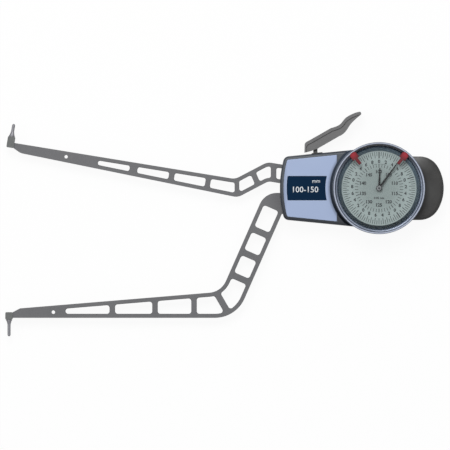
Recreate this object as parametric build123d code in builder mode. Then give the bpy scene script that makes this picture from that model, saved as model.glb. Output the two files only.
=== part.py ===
from build123d import *
from math import asin, atan2, cos, degrees, hypot, radians, sin, sqrt, tan
import os

# Inside dial caliper, in millimetres.
# The origin is the dial axis on the back face. +X points to the rubber grip, +Y to the side of the
# finger lever, +Z out of the dial. The two measuring arms reach out along -X.
# Rest is the free state: the spring holds the arms at their widest, just past 150.

# Running clearances
running_gap = 0.04
sliding_gap = 0.1
free_gap = 0.3

# Details that many pieces share
edge_break = 0.3
cut_margin = 1.0
blind_skin = 0.5
driver_slot = 0.4

# Housing in plan
housing_reach = 70.0
housing_bow = 3.2
housing_end_half = 22.3
housing_corner = 4.0
case_step = 1.5
shoulder_angle = 27.52
wall = 2.2
rear_cover_inset = 0.4
arm_exit_top = 17.4

# Housing in height
rear_cover_thickness = 1.5
floor_thickness = 2.0
front_skin = 1.5
front_pad_height = 2.6
front_rounding = 2.0
face_plate_thickness = 0.8
face_plate_inset = 2.4
face_plate_proud = 0.4
face_plate_end_inset = 1.3
face_plate_round = 0.28
bezel_side_gap = 0.5
bezel_rim_shadow = 2.2
movement_opening_step = 8.0
label_end_inset = 4.7
label_dial_gap = 5.4
label_half = 8.65
label_bow = 0.6
label_depth = 0.3

# Movement heights
sector_clearance = 1.7
sector_thickness = 1.4
arm_thickness = 4.2
bridge_clearance = 2.4
bridge_thickness = 1.4
screw_head_room = 0.9
boss_rise = 1.4
wheel_lift = 1.0
counter_drop = 0.4

# Arm pivot, on the housing's moving side
pivot_inset = 21.2
pivot_y = 8.6
pivot_pin_radius = 2.0
bush_wall = 1.9
hub_radius = 7.9

# Moving arm, in its own frame: origin on the pivot, x back along the arm towards the housing
moving_tilt = 9.27
moving_reach = 212.9
moving_top = -10.55
moving_tip_depth = 6.4
moving_bend_depth = 12.4
moving_neck_depth = 3.75
moving_tip_length = 7.9
moving_bend_x = 51.9
moving_rise_angle = 36.9
moving_shoulder_top = 4.9
moving_shoulder_bottom = -8.4
moving_hole_inset = 40.3
moving_hole_radius = 1.2
moving_hole_depth = 3.75
moving_rail = 2.75
moving_window_corner = 1.5
moving_window_inset = 63.2
moving_level_webs = ((0.738, 5.6), (0.458, 4.0), (0.191, 3.7))
moving_bend_webs = ((-49.6, -6.2, 10, 3.3), (-37.6, 2.4, 33, 3.9), (-25.7, 8.35, 9, 3.9))
moving_hub_land = 3.9
moving_bend_round = 9.0

# Fixed arm
fixed_base_y = -91.8
fixed_reach = 189.3
fixed_tip_depth = 6.7
fixed_taper = 4.72
fixed_bend_reach = 31.1
fixed_rise_lean = 23.8
fixed_rise_width = 17.1
fixed_root_top = -3.3
fixed_root_bottom = -18.3
fixed_root_inset = 27.0
fixed_outer_bend = 22.9
fixed_inner_bend = 14.0
fixed_root_bend = 13.0
fixed_neck_depth = 4.0
fixed_hole_inset = 28.8
fixed_hole_radius = 1.27
fixed_hole_rise = 4.0
fixed_rail = 2.85
fixed_window_corner = 1.9
fixed_web = 4.6
fixed_level_web = 3.9
fixed_window_inset = 35.5
fixed_level_webs = (-118.75, -88.5, -60.85)
fixed_bend_web_place = (-41.4, 11.6)
fixed_bend_web_angle = 30.0
fixed_rise_webs = (26.75, 44.5, 62.4)
fixed_rise_window_end = 81.1
web_reach = 70.0

# Contact heads and pins
head_width = 5.2
head_height = 5.2
moving_head_height = 7.9
head_thickness = 6.0
tenon_length = 3.0
tenon_margin = 0.7
pin_radius = 1.1
moving_pin_length = 9.1
fixed_pin_length = 11.9
head_round = 0.8
collar_radius = 2.1
collar_height = 0.9
cone_radius = 1.8
cone_height = 2.7
ball_radius = 1.0
rivet_radius = 0.7

# Finger lever
lever_ratio = 1.5
lever_tail = 4.44
lever_side = 69.5
arm_travel = 13.63
lever_plate_width = 12.0
lever_web_thickness = 10.8
lever_plate_thickness = 2.26
lever_pin_radius = 1.5
shank_width = 3.0
shank_thickness = 5.0
shank_hub_radius = 2.9
shank_hub_room = 0.8
tail_width = 1.1
tail_ball_radius = 1.0
shank_top_y = 31.0
boot_height = 0.6
lever_bush_wall = 0.7
slot_side_gap = 0.4
slot_end_gap = 0.6
shank_rivet_drop = 1.5
lever_run_angle = 30.0
lever_heel = (-3.8, 16.6)
lever_heel_top = (-3.7, 21.8)
lever_run_start = (-0.1, 25.44)
lever_run_end = (14.9, 34.0)
lever_crest = ((18.2, 35.0), (21.4, 36.7), (24.8, 40.7), (28.3, 43.1), (31.9, 44.7))
lever_tip = (34.9, 45.5)
lever_tip_end = (36.3, 44.4)
lever_tip_under = (35.6, 43.1)
lever_belly = ((31.9, 39.9), (28.3, 36.0), (25.9, 32.3), (24.2, 30.4))
lever_under_end = (21.0, 28.4)
lever_under_start = (7.1, 20.4)
lever_socket = ((5.8, 19.6), (0.7, 17.7))
lever_groove_width = 0.4
lever_groove_depth = 0.7
tenon_thickness = 2.4
shank_shoulder_y = 26.2
boot_wall = 0.7

# Gear train
sector_module = 0.25
train_module = 0.16
pinion_teeth = 12
wheel_teeth = 120
counter_teeth = 66
first_arbor_angle = 133.805
sector_rim = 4.0
sector_spoke = 2.6
sector_overrun = 1.6
tooth_rise = 0.7
tooth_drop = 0.95
tooth_tip_share = 0.12
tooth_root_share = 0.25
pinion_overlap = 0.4
wheel_hole_share = 0.2
wheel_hole_circle = 0.57
counter_collar = 0.8
hair_drop = 0.6
collet_rim = 0.2
hair_inner = 1.4
hair_pitch = 0.5
hair_strip = 0.12
hair_width = 0.8
hair_coils = 7
stud_radius = 0.6
bridge_step = 9.0
bridge_pivot_margin = 4.5
bridge_lever_margin = 1.5
stop_circle = 20.0
stop_radius = 0.8
arm_stop_travel = 14.0
spring_pin_gap = 1.9
spring_pin_angle = -2.0
spring_pin_radius = 0.8
spring_leaf = 0.35
spring_width = 1.6
spring_lift = 1.0
spring_pin_over = 0.6
sector_rivet_circle = 5.9
sector_rivet_angles = (150.0, 270.0, 350.0)
rivet_head = 1.1
rivet_head_height = 0.5
first_arbor_radius = 0.8
centre_arbor_radius = 0.5
wheel_thickness = 0.8
pipe_wall = 0.5

# Dial and hands
dial_inset = 6.0
dial_thickness = 0.5
long_hand_inset = 4.1
small_hand_inset = 12.3
hand_thickness = 0.3
hand_lift = 0.8
hand_spacing = 1.0
hand_root_width = 1.7
hand_hub = 1.8
small_hand_tip = 0.7
long_hand_tip = 0.6
hand_tail = 1.4
hand_cap_radius = 2.1
hand_cap_height = 0.4
hand_cap_rim = 0.15
hand_cap_slope = 0.6
arbor_headroom = 1.0
long_hand_angle = 54.0
small_hand_angle = 87.6

# Bezel, from the dial axis outwards and from the case front upwards
bezel_radius = 32.5
bezel_height = 8.7
skirt_wall = 1.5
spigot_wall = 1.05
inner_skirt_wall = 0.6
dial_lift = 1.7
crystal_inset = 1.9
crystal_seat_gap = 0.05
crystal_thickness = 1.2
gasket_thickness = 0.4
retainer_thickness = 0.6
retainer_inset = 1.4
retainer_width = 1.0
lip_inset = 0.85
undercut = 0.25
lip_thickness = 0.15
ring_wire = 0.5
ring_drop = 0.1
spigot_rise = 1.0
case_flange = 0.6
dial_case_inset = 10.5
dial_flange_step = 0.4
dial_flange = 0.8
bezel_chamfer = 0.45
dial_screw_inset = 7.8
dial_screw_radius = 0.8
dial_screw_head = 1.35
dial_screw_head_height = 0.5
cone_depth = 3.8
cone_top_inset = 3.9
cone_lip = 0.4
gasket_inset = 0.1

# Tolerance markers
marker_angle = 38.0
marker_width = 5.3
marker_corner = 1.7
marker_inner_corner = 0.7
marker_hook_width = 2.4
marker_inset = 6.3
finger_inset = 10.9
finger_width = 2.3
marker_height = 1.15
marker_lip = 0.45
marker_overlap = 1.0

# Rubber grip cap
grip_side_step = 8.5
grip_overhang = 14.9
grip_end_radius = 30.0
grip_corner = 15.0
grip_top = 16.8
grip_round = 3.0
tongue_half = 13.0
tongue_end_gap = 5.9
tongue_margin = 3.5
grip_screw_inset = 4.0
grip_screw_y = 7.0
grip_screw_sink = 0.4
grip_screw_length = 9.0

# Fasteners
screw_radius = 0.9
screw_head = 1.8
boss_radius = 2.2
arm_screw_radius = 1.4
arm_screw_head = 2.7
arm_screw_head_height = 1.75
arm_screw_socket = 1.35
socket_floor = 0.7
screw_pad_margin = 0.5
dowel_radius = 1.0
dowel_pad_margin = 0.9
lever_boss_margin = 1.2
pillar_radius = 1.8
bridge_screw_depth = 4.0
bridge_screw_head = 0.6
case_screw_insets = ((9.0, 19.0), (32.0, -20.9))
case_screw_rim = 4.0
case_screw_angle = 41.2
pillar_rim = 2.4
pillar_angles = (37.75, -37.75)
far_pillar_rim = 1.5
far_pillar_angle = 214.1
spring_pillar = (16.8, 9.9)
arm_screw_insets = ((10.5, -11.0), (20.5, -11.0))
dowel_insets = ((8.0, -7.0), (15.5, -15.2))

# Levels worked out from the thicknesses
floor_base = rear_cover_thickness
floor_top = floor_base + floor_thickness
sector_base = floor_top + sector_clearance
arm_base = sector_base + sector_thickness
arm_top = arm_base + arm_thickness
arm_middle = (arm_base + arm_top) / 2
bridge_base = arm_top + bridge_clearance
bridge_top = bridge_base + bridge_thickness
wall_top = bridge_top + screw_head_room
case_front = wall_top + front_skin
pad_top = case_front + front_pad_height
plate_top = pad_top + face_plate_proud
dial_base = case_front + dial_lift
dial_top = dial_base + dial_thickness
crystal_base = dial_top + cone_depth + gasket_thickness
crystal_top = crystal_base + crystal_thickness
retainer_top = crystal_top + retainer_thickness
bezel_base = case_front + free_gap
bezel_top = bezel_base + bezel_height
boss_top = floor_top + boss_rise
pin_base = floor_base + blind_skin
arbor_base = pin_base + sliding_gap
tongue_base = free_gap + tongue_margin
tongue_top = grip_top - tongue_margin
on_base = (Align.CENTER, Align.CENTER, Align.MIN)


def level(height, centre=(0, 0), turn=0.0):
    direction = (cos(radians(turn)), sin(radians(turn)), 0)
    return Plane(origin=(centre[0], centre[1], height), x_dir=direction, z_dir=(0, 0, 1))


def polar(centre, radius, angle):
    return (centre[0] + radius * cos(radians(angle)), centre[1] + radius * sin(radians(angle)))


# Places worked out from the size of the bezel
case_radius = bezel_radius - case_step
face_plate_end_x = case_radius - face_plate_end_inset
movement_opening = case_radius - movement_opening_step
bridge_radius = case_radius - bridge_step
label_right = bezel_radius + label_dial_gap
dial_radius = bezel_radius - dial_inset
long_hand_reach = dial_radius - long_hand_inset
small_hand_reach = dial_radius - small_hand_inset
crystal_radius = bezel_radius - crystal_inset
retainer_radius = bezel_radius - retainer_inset
retainer_inner = retainer_radius - retainer_width
lip_radius = bezel_radius - lip_inset
dial_case_inner = bezel_radius - dial_case_inset
dial_screw_circle = bezel_radius - dial_screw_inset
cone_top_radius = bezel_radius - cone_top_inset
marker_inner = bezel_radius - marker_inset
finger_inner = bezel_radius - finger_inset
grip_half = case_radius - grip_side_step
grip_end_x = case_radius + grip_overhang
tongue_end_x = grip_end_x - tongue_end_gap
grip_screw_x = tongue_end_x - grip_screw_inset
grip_points = ((grip_screw_x, grip_screw_y), (grip_screw_x, -grip_screw_y))

# Places worked out from the housing's end
housing_end_x = -(housing_reach - housing_bow)
shoulder = polar((0, 0), case_radius, 90 + shoulder_angle)
housing_taper = degrees(atan2(shoulder[1] - housing_end_half, shoulder[0] - housing_end_x))
label_left = housing_reach - label_end_inset
pivot_x = pivot_inset - housing_reach
pivot = (pivot_x, pivot_y)
fixed_tip_x = -(housing_reach + fixed_reach)
fixed_bend_x = -(housing_reach + fixed_bend_reach)
fixed_root_end = fixed_root_inset - housing_reach
fixed_hole_x = fixed_tip_x + fixed_hole_inset
fixed_window_start = fixed_tip_x + fixed_window_inset
fixed_bend_web = (fixed_bend_web_place[0] - housing_reach, fixed_base_y + fixed_bend_web_place[1])
moving_run_end = moving_reach - moving_tip_length
moving_hole_x = moving_reach - moving_hole_inset
moving_window_start = moving_reach - moving_window_inset
case_screw_points = [(inset - housing_reach, side) for inset, side in case_screw_insets]
for turn in (case_screw_angle, -case_screw_angle):
    case_screw_points.append(polar((0, 0), case_radius - case_screw_rim, turn))
pillar_points = [polar((0, 0), bridge_radius - pillar_rim, turn) for turn in pillar_angles]
pillar_points += [polar((0, 0), bridge_radius - far_pillar_rim, far_pillar_angle)]
pillar_points += [(pivot[0] + spring_pillar[0], pivot[1] + spring_pillar[1])]
arm_screw_points = [(inset - housing_reach, side) for inset, side in arm_screw_insets]
dowel_points = [(inset - housing_reach, side) for inset, side in dowel_insets]


def save(piece, name):
    piece.part.label = name
    export_step(piece.part, f"parts/{name}.step")


def housing_plan(inset):
    with BuildSketch() as plan:
        with BuildLine():
            ThreePointArc((housing_end_x, -housing_end_half), (-housing_reach, 0),
                          (housing_end_x, housing_end_half))
            Polyline((housing_end_x, housing_end_half), shoulder, (shoulder[0], -shoulder[1]),
                     (housing_end_x, -housing_end_half))
        make_face()
        fillet(plan.vertices().group_by(Axis.X)[0], housing_corner)
        Circle(case_radius)
        if inset > 0:
            offset(amount=-inset, kind=Kind.INTERSECTION)
    return plan.sketch


def label_plan():
    right_end = sqrt(label_right**2 - label_half**2)
    with BuildSketch() as plan:
        with BuildLine():
            ThreePointArc((-label_left + label_bow, -label_half), (-label_left, 0),
                          (-label_left + label_bow, label_half))
            Line((-label_left + label_bow, label_half), (-right_end, label_half))
            ThreePointArc((-right_end, label_half), (-label_right, 0), (-right_end, -label_half))
            Line((-right_end, -label_half), (-label_left + label_bow, -label_half))
        make_face()
    return plan.sketch


def gear_face(teeth, module, phase):
    pitch_radius = module * teeth / 2
    tip = pitch_radius + tooth_rise * module
    root = pitch_radius - tooth_drop * module
    step = 360 / teeth
    outline = []
    for tooth in range(teeth):
        middle = phase + tooth * step
        outline.append(polar((0, 0), root, middle - tooth_root_share * step))
        outline.append(polar((0, 0), tip, middle - tooth_tip_share * step))
        outline.append(polar((0, 0), tip, middle + tooth_tip_share * step))
        outline.append(polar((0, 0), root, middle + tooth_root_share * step))
    with BuildSketch() as face:
        with BuildLine():
            Polyline(*outline, close=True)
        make_face()
    return face.sketch


# Where the shafts stand
wheel_radius = train_module * wheel_teeth / 2
train_distance = train_module * (wheel_teeth + pinion_teeth) / 2
first_arbor = polar((0, 0), train_distance, first_arbor_angle)
sector_pinion_radius = sector_module * pinion_teeth / 2
sector_radius = hypot(first_arbor[0] - pivot_x, first_arbor[1] - pivot_y) - sector_pinion_radius
spring_pin_circle = sector_radius + sector_pinion_radius - wheel_radius - spring_pin_gap
sector_mesh = degrees(atan2(first_arbor[1] - pivot_y, first_arbor[0] - pivot_x))
lever_reach = lever_tail * (1 + lever_ratio)
lever_pivot = polar(pivot, lever_reach, lever_side)
lever_travel = arm_travel * lever_ratio
tail_angle = lever_side + 180 + lever_travel / 2
fork_angle = lever_side - arm_travel / 2
fork_radius = lever_tail * lever_ratio
wall_slope = tan(radians(housing_taper))
slot_x = lever_pivot[0]
slot_y = housing_end_half + (slot_x + housing_reach - housing_bow) * wall_slope


def top_wall(height=0.0):
    lean = radians(housing_taper)
    direction = (cos(lean), sin(lean), 0)
    outward = (-sin(lean), cos(lean), 0)
    start = (slot_x - height * sin(lean), slot_y + height * cos(lean), arm_middle)
    return Plane(origin=start, x_dir=direction, z_dir=outward)


# Travel of the sector, its stops and the hairspring's stud
sector_low = sector_mesh - arm_travel - sector_overrun
sector_high = sector_mesh + sector_overrun
stop_offset = degrees(asin((stop_radius + sliding_gap) / stop_circle))
low_stop = polar(pivot, stop_circle, sector_low - stop_offset)
high_stop = polar(pivot, stop_circle, sector_high + arm_stop_travel + stop_offset)
stud_x = hair_inner + hair_coils * hair_pitch + hair_strip / 2 + stud_radius

# Slot that the shank swings in, measured along the top wall
slot_rise = slot_y - lever_pivot[1] + boot_height
slot_left = shank_width / 2 + slot_side_gap
slot_right = shank_width / 2 + slot_end_gap + slot_rise * tan(radians(lever_travel))
slot_length = slot_left + slot_right
slot_shift = (slot_right - slot_left) / 2
slot_height = shank_thickness + 2 * free_gap

os.makedirs("parts", exist_ok=True)

# Rear cover
with BuildPart() as rear_cover:
    with BuildSketch():
        add(housing_plan(rear_cover_inset))
    extrude(amount=rear_cover_thickness)
    with Locations([(x, y, 0) for x, y in case_screw_points]):
        Cone(screw_head, screw_radius, screw_head - screw_radius, align=on_base, mode=Mode.SUBTRACT)
        Cylinder(screw_radius, rear_cover_thickness, align=on_base, mode=Mode.SUBTRACT)
    chamfer(rear_cover.faces().sort_by(Axis.Z)[0].outer_wire().edges(), edge_break)
save(rear_cover, "rear_cover")

# Long screws from the back, through the body into the front cover
with BuildPart() as case_screws:
    with Locations([(x, y, 0) for x, y in case_screw_points]):
        Cone(screw_head, screw_radius, screw_head - screw_radius, align=on_base)
        Cylinder(screw_radius, case_front - free_gap, align=on_base)
        Box(2 * screw_head, driver_slot, 2 * driver_slot, mode=Mode.SUBTRACT)
save(case_screws, "case_screws")

# Body casting: floor, walls, bosses and the tongue for the grip
arm_exit_bottom = fixed_root_bottom - free_gap
with BuildPart() as body_frame:
    with BuildSketch(Plane.XY.offset(floor_base)):
        add(housing_plan(0))
    extrude(amount=wall_top - floor_base)
    with BuildSketch(Plane.XY.offset(tongue_base)):
        with Locations((tongue_end_x / 2, 0)):
            Rectangle(tongue_end_x, 2 * tongue_half)
    extrude(amount=tongue_top - tongue_base)
    with BuildSketch(Plane.XY.offset(floor_top)):
        add(housing_plan(wall))
    extrude(amount=wall_top - floor_top, mode=Mode.SUBTRACT)
    with BuildSketch(Plane.XY.offset(floor_top)):
        with Locations(*case_screw_points):
            Circle(boss_radius)
    extrude(amount=wall_top - floor_top)
    with BuildSketch(Plane.XY.offset(floor_top)):
        with Locations(*arm_screw_points):
            Circle(arm_screw_head + screw_pad_margin)
        with Locations(*dowel_points):
            Circle(dowel_radius + dowel_pad_margin)
    extrude(amount=arm_base - floor_top)
    with BuildSketch(Plane.XY.offset(floor_top)):
        with Locations(pivot):
            Circle(pivot_pin_radius + bush_wall)
        with Locations(lever_pivot):
            Circle(lever_pin_radius + lever_boss_margin)
    extrude(amount=boss_rise)
    with BuildSketch(level(boss_top, lever_pivot)):
        Circle(shank_hub_radius + shank_hub_room)
    extrude(amount=wall_top - boss_top, mode=Mode.SUBTRACT)
    with BuildSketch(Plane.XY.offset(pin_base)):
        with Locations(pivot):
            Circle(pivot_pin_radius)
        with Locations(lever_pivot):
            Circle(lever_pin_radius)
        with Locations(*arm_screw_points):
            Circle(arm_screw_radius)
        with Locations(*dowel_points):
            Circle(dowel_radius)
        with Locations(low_stop, high_stop):
            Circle(stop_radius)
        with Locations((stud_x, 0)):
            Circle(stud_radius)
        with Locations(first_arbor):
            Circle(first_arbor_radius + running_gap)
        Circle(centre_arbor_radius + running_gap)
    extrude(amount=wall_top, mode=Mode.SUBTRACT)
    with BuildSketch(Plane.XY.offset(floor_base)):
        with Locations(*case_screw_points):
            Circle(screw_radius)
    extrude(amount=wall_top, mode=Mode.SUBTRACT)
    with BuildSketch(Plane.XY.offset(tongue_base)):
        with Locations(*grip_points):
            Circle(screw_radius)
    extrude(amount=grip_screw_length, mode=Mode.SUBTRACT)
    with BuildSketch(Plane.XY.offset(arm_base - free_gap)):
        with Locations((-housing_reach, (arm_exit_top + arm_exit_bottom) / 2)):
            Rectangle(2 * (housing_bow + wall) + cut_margin, arm_exit_top - arm_exit_bottom)
    extrude(amount=arm_thickness + 2 * free_gap, mode=Mode.SUBTRACT)
    with BuildSketch(top_wall(-wall - cut_margin)):
        with Locations((slot_shift, 0)):
            Rectangle(slot_length, slot_height)
    extrude(amount=wall + 2 * cut_margin, mode=Mode.SUBTRACT)
save(body_frame, "body_frame")

# Front cover: a rounded pad left of the dial, stepped down under the bezel
def face_plan():
    with BuildSketch() as plan:
        add(housing_plan(face_plate_inset))
        with Locations((case_radius - face_plate_end_x, 0)):
            Rectangle(2 * case_radius, 3 * case_radius, mode=Mode.SUBTRACT)
        Circle(bezel_radius + bezel_rim_shadow, mode=Mode.SUBTRACT)
    return plan.sketch


plate_seat = pad_top - face_plate_thickness + face_plate_proud
with BuildPart() as front_cover:
    with BuildSketch(Plane.XY.offset(wall_top)):
        add(housing_plan(0))
    extrude(amount=pad_top - wall_top)
    fillet(front_cover.faces().sort_by(Axis.Z)[-1].outer_wire().edges(), front_rounding)
    with BuildSketch(Plane.XY.offset(case_front)):
        with Locations((case_radius, 0)):
            Rectangle(2 * case_radius, 3 * case_radius)
    extrude(amount=front_pad_height + cut_margin, mode=Mode.SUBTRACT)
    with Locations((0, 0, case_front)):
        Cone(bezel_radius + bezel_side_gap, bezel_radius + bezel_rim_shadow, front_pad_height,
             align=on_base, mode=Mode.SUBTRACT)
    with BuildSketch(Plane.XY.offset(wall_top)):
        Circle(movement_opening)
    extrude(amount=front_skin, mode=Mode.SUBTRACT)
    with BuildSketch(Plane.XY.offset(wall_top)):
        with Locations(*case_screw_points):
            Circle(screw_radius)
    extrude(amount=front_skin - free_gap, mode=Mode.SUBTRACT)
    with BuildSketch(Plane.XY.offset(plate_seat)):
        add(face_plan())
    extrude(amount=face_plate_thickness, mode=Mode.SUBTRACT)
save(front_cover, "front_cover")

# Light blue face plate, laid in the pad
with BuildPart() as face_plate:
    with BuildSketch(Plane.XY.offset(plate_seat)):
        add(face_plan())
    extrude(amount=face_plate_thickness)
    with BuildSketch(Plane.XY.offset(plate_top - label_depth)):
        add(label_plan())
    extrude(amount=label_depth, mode=Mode.SUBTRACT)
    fillet(face_plate.faces().sort_by(Axis.Z)[-1].outer_wire().edges(), face_plate_round)
save(face_plate, "face_plate")

# Dark label, flush in the face plate
with BuildPart() as name_plate:
    with BuildSketch(Plane.XY.offset(plate_top - label_depth)):
        add(label_plan())
    extrude(amount=label_depth)
save(name_plate, "name_plate")

# Screws that hold the fixed arm's root, and the two dowels that place it
with BuildPart() as fixed_arm_screws:
    with BuildSketch(Plane.XY.offset(pin_base)):
        with Locations(*arm_screw_points):
            Circle(arm_screw_radius)
    extrude(amount=arm_top - pin_base)
    with BuildSketch(Plane.XY.offset(arm_top)):
        with Locations(*arm_screw_points):
            Circle(arm_screw_head)
    extrude(amount=arm_screw_head_height)
    with BuildSketch(Plane.XY.offset(arm_top + socket_floor)):
        with Locations(*arm_screw_points):
            RegularPolygon(arm_screw_socket, 6)
    extrude(amount=arm_screw_head_height, mode=Mode.SUBTRACT)
save(fixed_arm_screws, "fixed_arm_screws")

with BuildPart() as fixed_arm_dowels:
    with BuildSketch(Plane.XY.offset(pin_base)):
        with Locations(*dowel_points):
            Circle(dowel_radius)
    extrude(amount=arm_top - pin_base)
save(fixed_arm_dowels, "fixed_arm_dowels")


# Arms: flat plates cut into a row of rounded windows
def meet(first, first_angle, second, second_angle):
    a = radians(first_angle)
    b = radians(second_angle)
    gap_x = second[0] - first[0]
    gap_y = second[1] - first[1]
    along = (gap_x * sin(b) - gap_y * cos(b)) / (cos(a) * sin(b) - sin(a) * cos(b))
    return (first[0] + along * cos(a), first[1] + along * sin(a))


def arm_face(outline, rounds):
    with BuildSketch() as face:
        with BuildLine():
            Polyline(*outline, close=True)
        make_face()
        for corner, radius in rounds:
            fillet(face.vertices().sort_by_distance((corner[0], corner[1], 0))[0], radius)
    return face.sketch


# A window strip is the arm's face less its rails and webs, with its corners rounded
def window_strip(face, webs, rail, corner):
    with BuildSketch() as strip:
        add(face)
        offset(amount=-rail, kind=Kind.ARC)
        for centre, angle, thickness in webs:
            with Locations(Location((centre[0], centre[1], 0), angle)):
                Rectangle(thickness, web_reach, mode=Mode.SUBTRACT)
        offset(amount=-corner, kind=Kind.ARC)
        offset(amount=corner, kind=Kind.ARC)
    return strip.sketch


# The edges of the windows, on both faces of an arm
def window_edges(arm):
    rims = ShapeList()
    for side in (arm.faces().sort_by(Axis.Z)[0], arm.faces().sort_by(Axis.Z)[-1]):
        for wire in side.inner_wires():
            if len(wire.edges()) > 1:
                rims += wire.edges()
    return rims


# Moving arm, drawn in its own frame
run_slope = -degrees(atan2(moving_bend_depth - moving_tip_depth, moving_run_end - moving_bend_x))
tip_bottom = (-moving_run_end, moving_top - moving_tip_depth)
rise_bottom_offset = moving_bend_depth / cos(radians(moving_rise_angle))
bend_top = (-moving_bend_x, moving_top)
rise_bottom = (-moving_bend_x, moving_top - rise_bottom_offset)
bend_bottom = meet(tip_bottom, run_slope, rise_bottom, moving_rise_angle)
shoulder_top = meet(bend_top, moving_rise_angle, (0, moving_shoulder_top), 0)
shoulder_bottom = meet(bend_bottom, moving_rise_angle, (0, moving_shoulder_bottom), 0)
moving_neck_x = -(moving_reach - head_width / 2)
moving_neck_y = moving_top - moving_neck_depth
moving_outline = [
    (moving_neck_x, moving_top),
    bend_top,
    shoulder_top,
    (0, moving_shoulder_top),
    (0, moving_shoulder_bottom),
    shoulder_bottom,
    bend_bottom,
    tip_bottom,
    (moving_neck_x, moving_neck_y),
]
moving_rounds = [
    (bend_top, moving_bend_round),
    (shoulder_top, moving_bend_round),
    (shoulder_bottom, moving_bend_round * 0.7),
    (bend_bottom, moving_bend_round),
    (tip_bottom, moving_bend_round),
]
moving_run = moving_window_start - moving_bend_x
level_places = [(-moving_bend_x - share * moving_run, width) for share, width in moving_level_webs]
moving_webs = [((x, moving_top), 0, width) for x, width in level_places]
moving_webs += [
    ((-moving_window_start - moving_reach / 4, moving_top), 0, moving_reach / 2),
    ((0, 0), 0, 2 * (hub_radius + moving_hub_land)),
]
moving_webs += [((x, moving_top + rise), angle, width) for x, rise, angle, width in moving_bend_webs]
moving_face = arm_face(moving_outline, moving_rounds)
moving_strip = window_strip(moving_face, moving_webs, moving_rail, moving_window_corner)
tenon_centre_x = moving_neck_x - tenon_length / 2
tenon_width = moving_neck_depth - 2 * tenon_margin
moving_rivet = (tenon_centre_x, moving_top - moving_neck_depth / 2)


def moving_frame(height):
    return level(height, pivot, -moving_tilt)


fork_centre = polar((0, 0), fork_radius + tail_ball_radius, fork_angle)
with BuildPart() as moving_arm:
    with BuildSketch(moving_frame(arm_base)):
        add(moving_face)
        Circle(hub_radius)
        with Locations(moving_rivet):
            Rectangle(tenon_length, tenon_width)
        add(moving_strip, mode=Mode.SUBTRACT)
        with Locations((-moving_hole_x, moving_top - moving_hole_depth)):
            Circle(moving_hole_radius, mode=Mode.SUBTRACT)
        with Locations(moving_rivet):
            Circle(rivet_radius, mode=Mode.SUBTRACT)
        Circle(pivot_pin_radius + running_gap + bush_wall, mode=Mode.SUBTRACT)
    extrude(amount=arm_thickness)
    chamfer(window_edges(moving_arm), edge_break)
    with BuildSketch(level(arm_base, pivot)):
        with Locations([polar((0, 0), sector_rivet_circle, angle) for angle in sector_rivet_angles]):
            Circle(rivet_radius)
        with Locations(Location((*fork_centre, 0), fork_angle)):
            Rectangle(4 * tail_ball_radius + 2 * free_gap, 2 * (tail_ball_radius + sliding_gap))
    extrude(amount=arm_thickness, mode=Mode.SUBTRACT)
save(moving_arm, "moving_arm")

# Fixed arm, drawn in the row's frame
rise_angle = 90 - fixed_rise_lean
outer_corner = (fixed_bend_x, fixed_base_y)
rise_shift = fixed_rise_width / cos(radians(fixed_rise_lean))
fixed_top_start = (fixed_tip_x + head_width, fixed_base_y + fixed_tip_depth)
inner_corner = meet(fixed_top_start, fixed_taper, (fixed_bend_x - rise_shift, fixed_base_y), rise_angle)
root_top_corner = meet((fixed_bend_x - rise_shift, fixed_base_y), rise_angle, (0, fixed_root_top), 0)
root_bottom_corner = meet(outer_corner, rise_angle, (0, fixed_root_bottom), 0)
fixed_neck_top = fixed_base_y + fixed_neck_depth
fixed_outline = [
    (fixed_tip_x, fixed_neck_top),
    fixed_top_start,
    inner_corner,
    root_top_corner,
    (fixed_root_end, fixed_root_top),
    (fixed_root_end, fixed_root_bottom),
    root_bottom_corner,
    outer_corner,
    (fixed_tip_x, fixed_base_y),
]
fixed_rounds = [
    (inner_corner, fixed_inner_bend),
    (root_top_corner, fixed_root_bend),
    (outer_corner, fixed_outer_bend),
]


def rise_point(distance):
    lean = radians(fixed_rise_lean)
    along = (sin(lean) * distance, cos(lean) * distance)
    across = (-cos(lean) * fixed_rise_width / 2, sin(lean) * fixed_rise_width / 2)
    return (outer_corner[0] + along[0] + across[0], outer_corner[1] + along[1] + across[1])


fixed_webs = [((place - housing_reach, fixed_base_y), 0, fixed_level_web) for place in fixed_level_webs]
fixed_webs += [(rise_point(distance), rise_angle, fixed_web) for distance in fixed_rise_webs]
fixed_webs += [
    ((fixed_window_start - head_width * 6, fixed_base_y), 0, head_width * 12),
    (fixed_bend_web, fixed_bend_web_angle, fixed_web),
    (rise_point(fixed_rise_window_end + fixed_rise_width * 2), rise_angle, fixed_rise_width * 4),
]
fixed_face = arm_face(fixed_outline, fixed_rounds)
fixed_strip = window_strip(fixed_face, fixed_webs, fixed_rail, fixed_window_corner)
fixed_rivet = (fixed_tip_x - tenon_length / 2, fixed_base_y + fixed_neck_depth / 2)
with BuildPart() as fixed_arm:
    with BuildSketch(level(arm_base)):
        add(fixed_face)
        with Locations(fixed_rivet):
            Rectangle(tenon_length, fixed_neck_depth - 2 * tenon_margin)
        add(fixed_strip, mode=Mode.SUBTRACT)
        with Locations((fixed_hole_x, fixed_base_y + fixed_hole_rise)):
            Circle(fixed_hole_radius, mode=Mode.SUBTRACT)
        with Locations(*arm_screw_points):
            Circle(arm_screw_radius, mode=Mode.SUBTRACT)
        with Locations(*dowel_points):
            Circle(dowel_radius, mode=Mode.SUBTRACT)
        with Locations(fixed_rivet):
            Circle(rivet_radius, mode=Mode.SUBTRACT)
    extrude(amount=arm_thickness)
    chamfer(window_edges(fixed_arm), edge_break)
save(fixed_arm, "fixed_arm")

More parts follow.
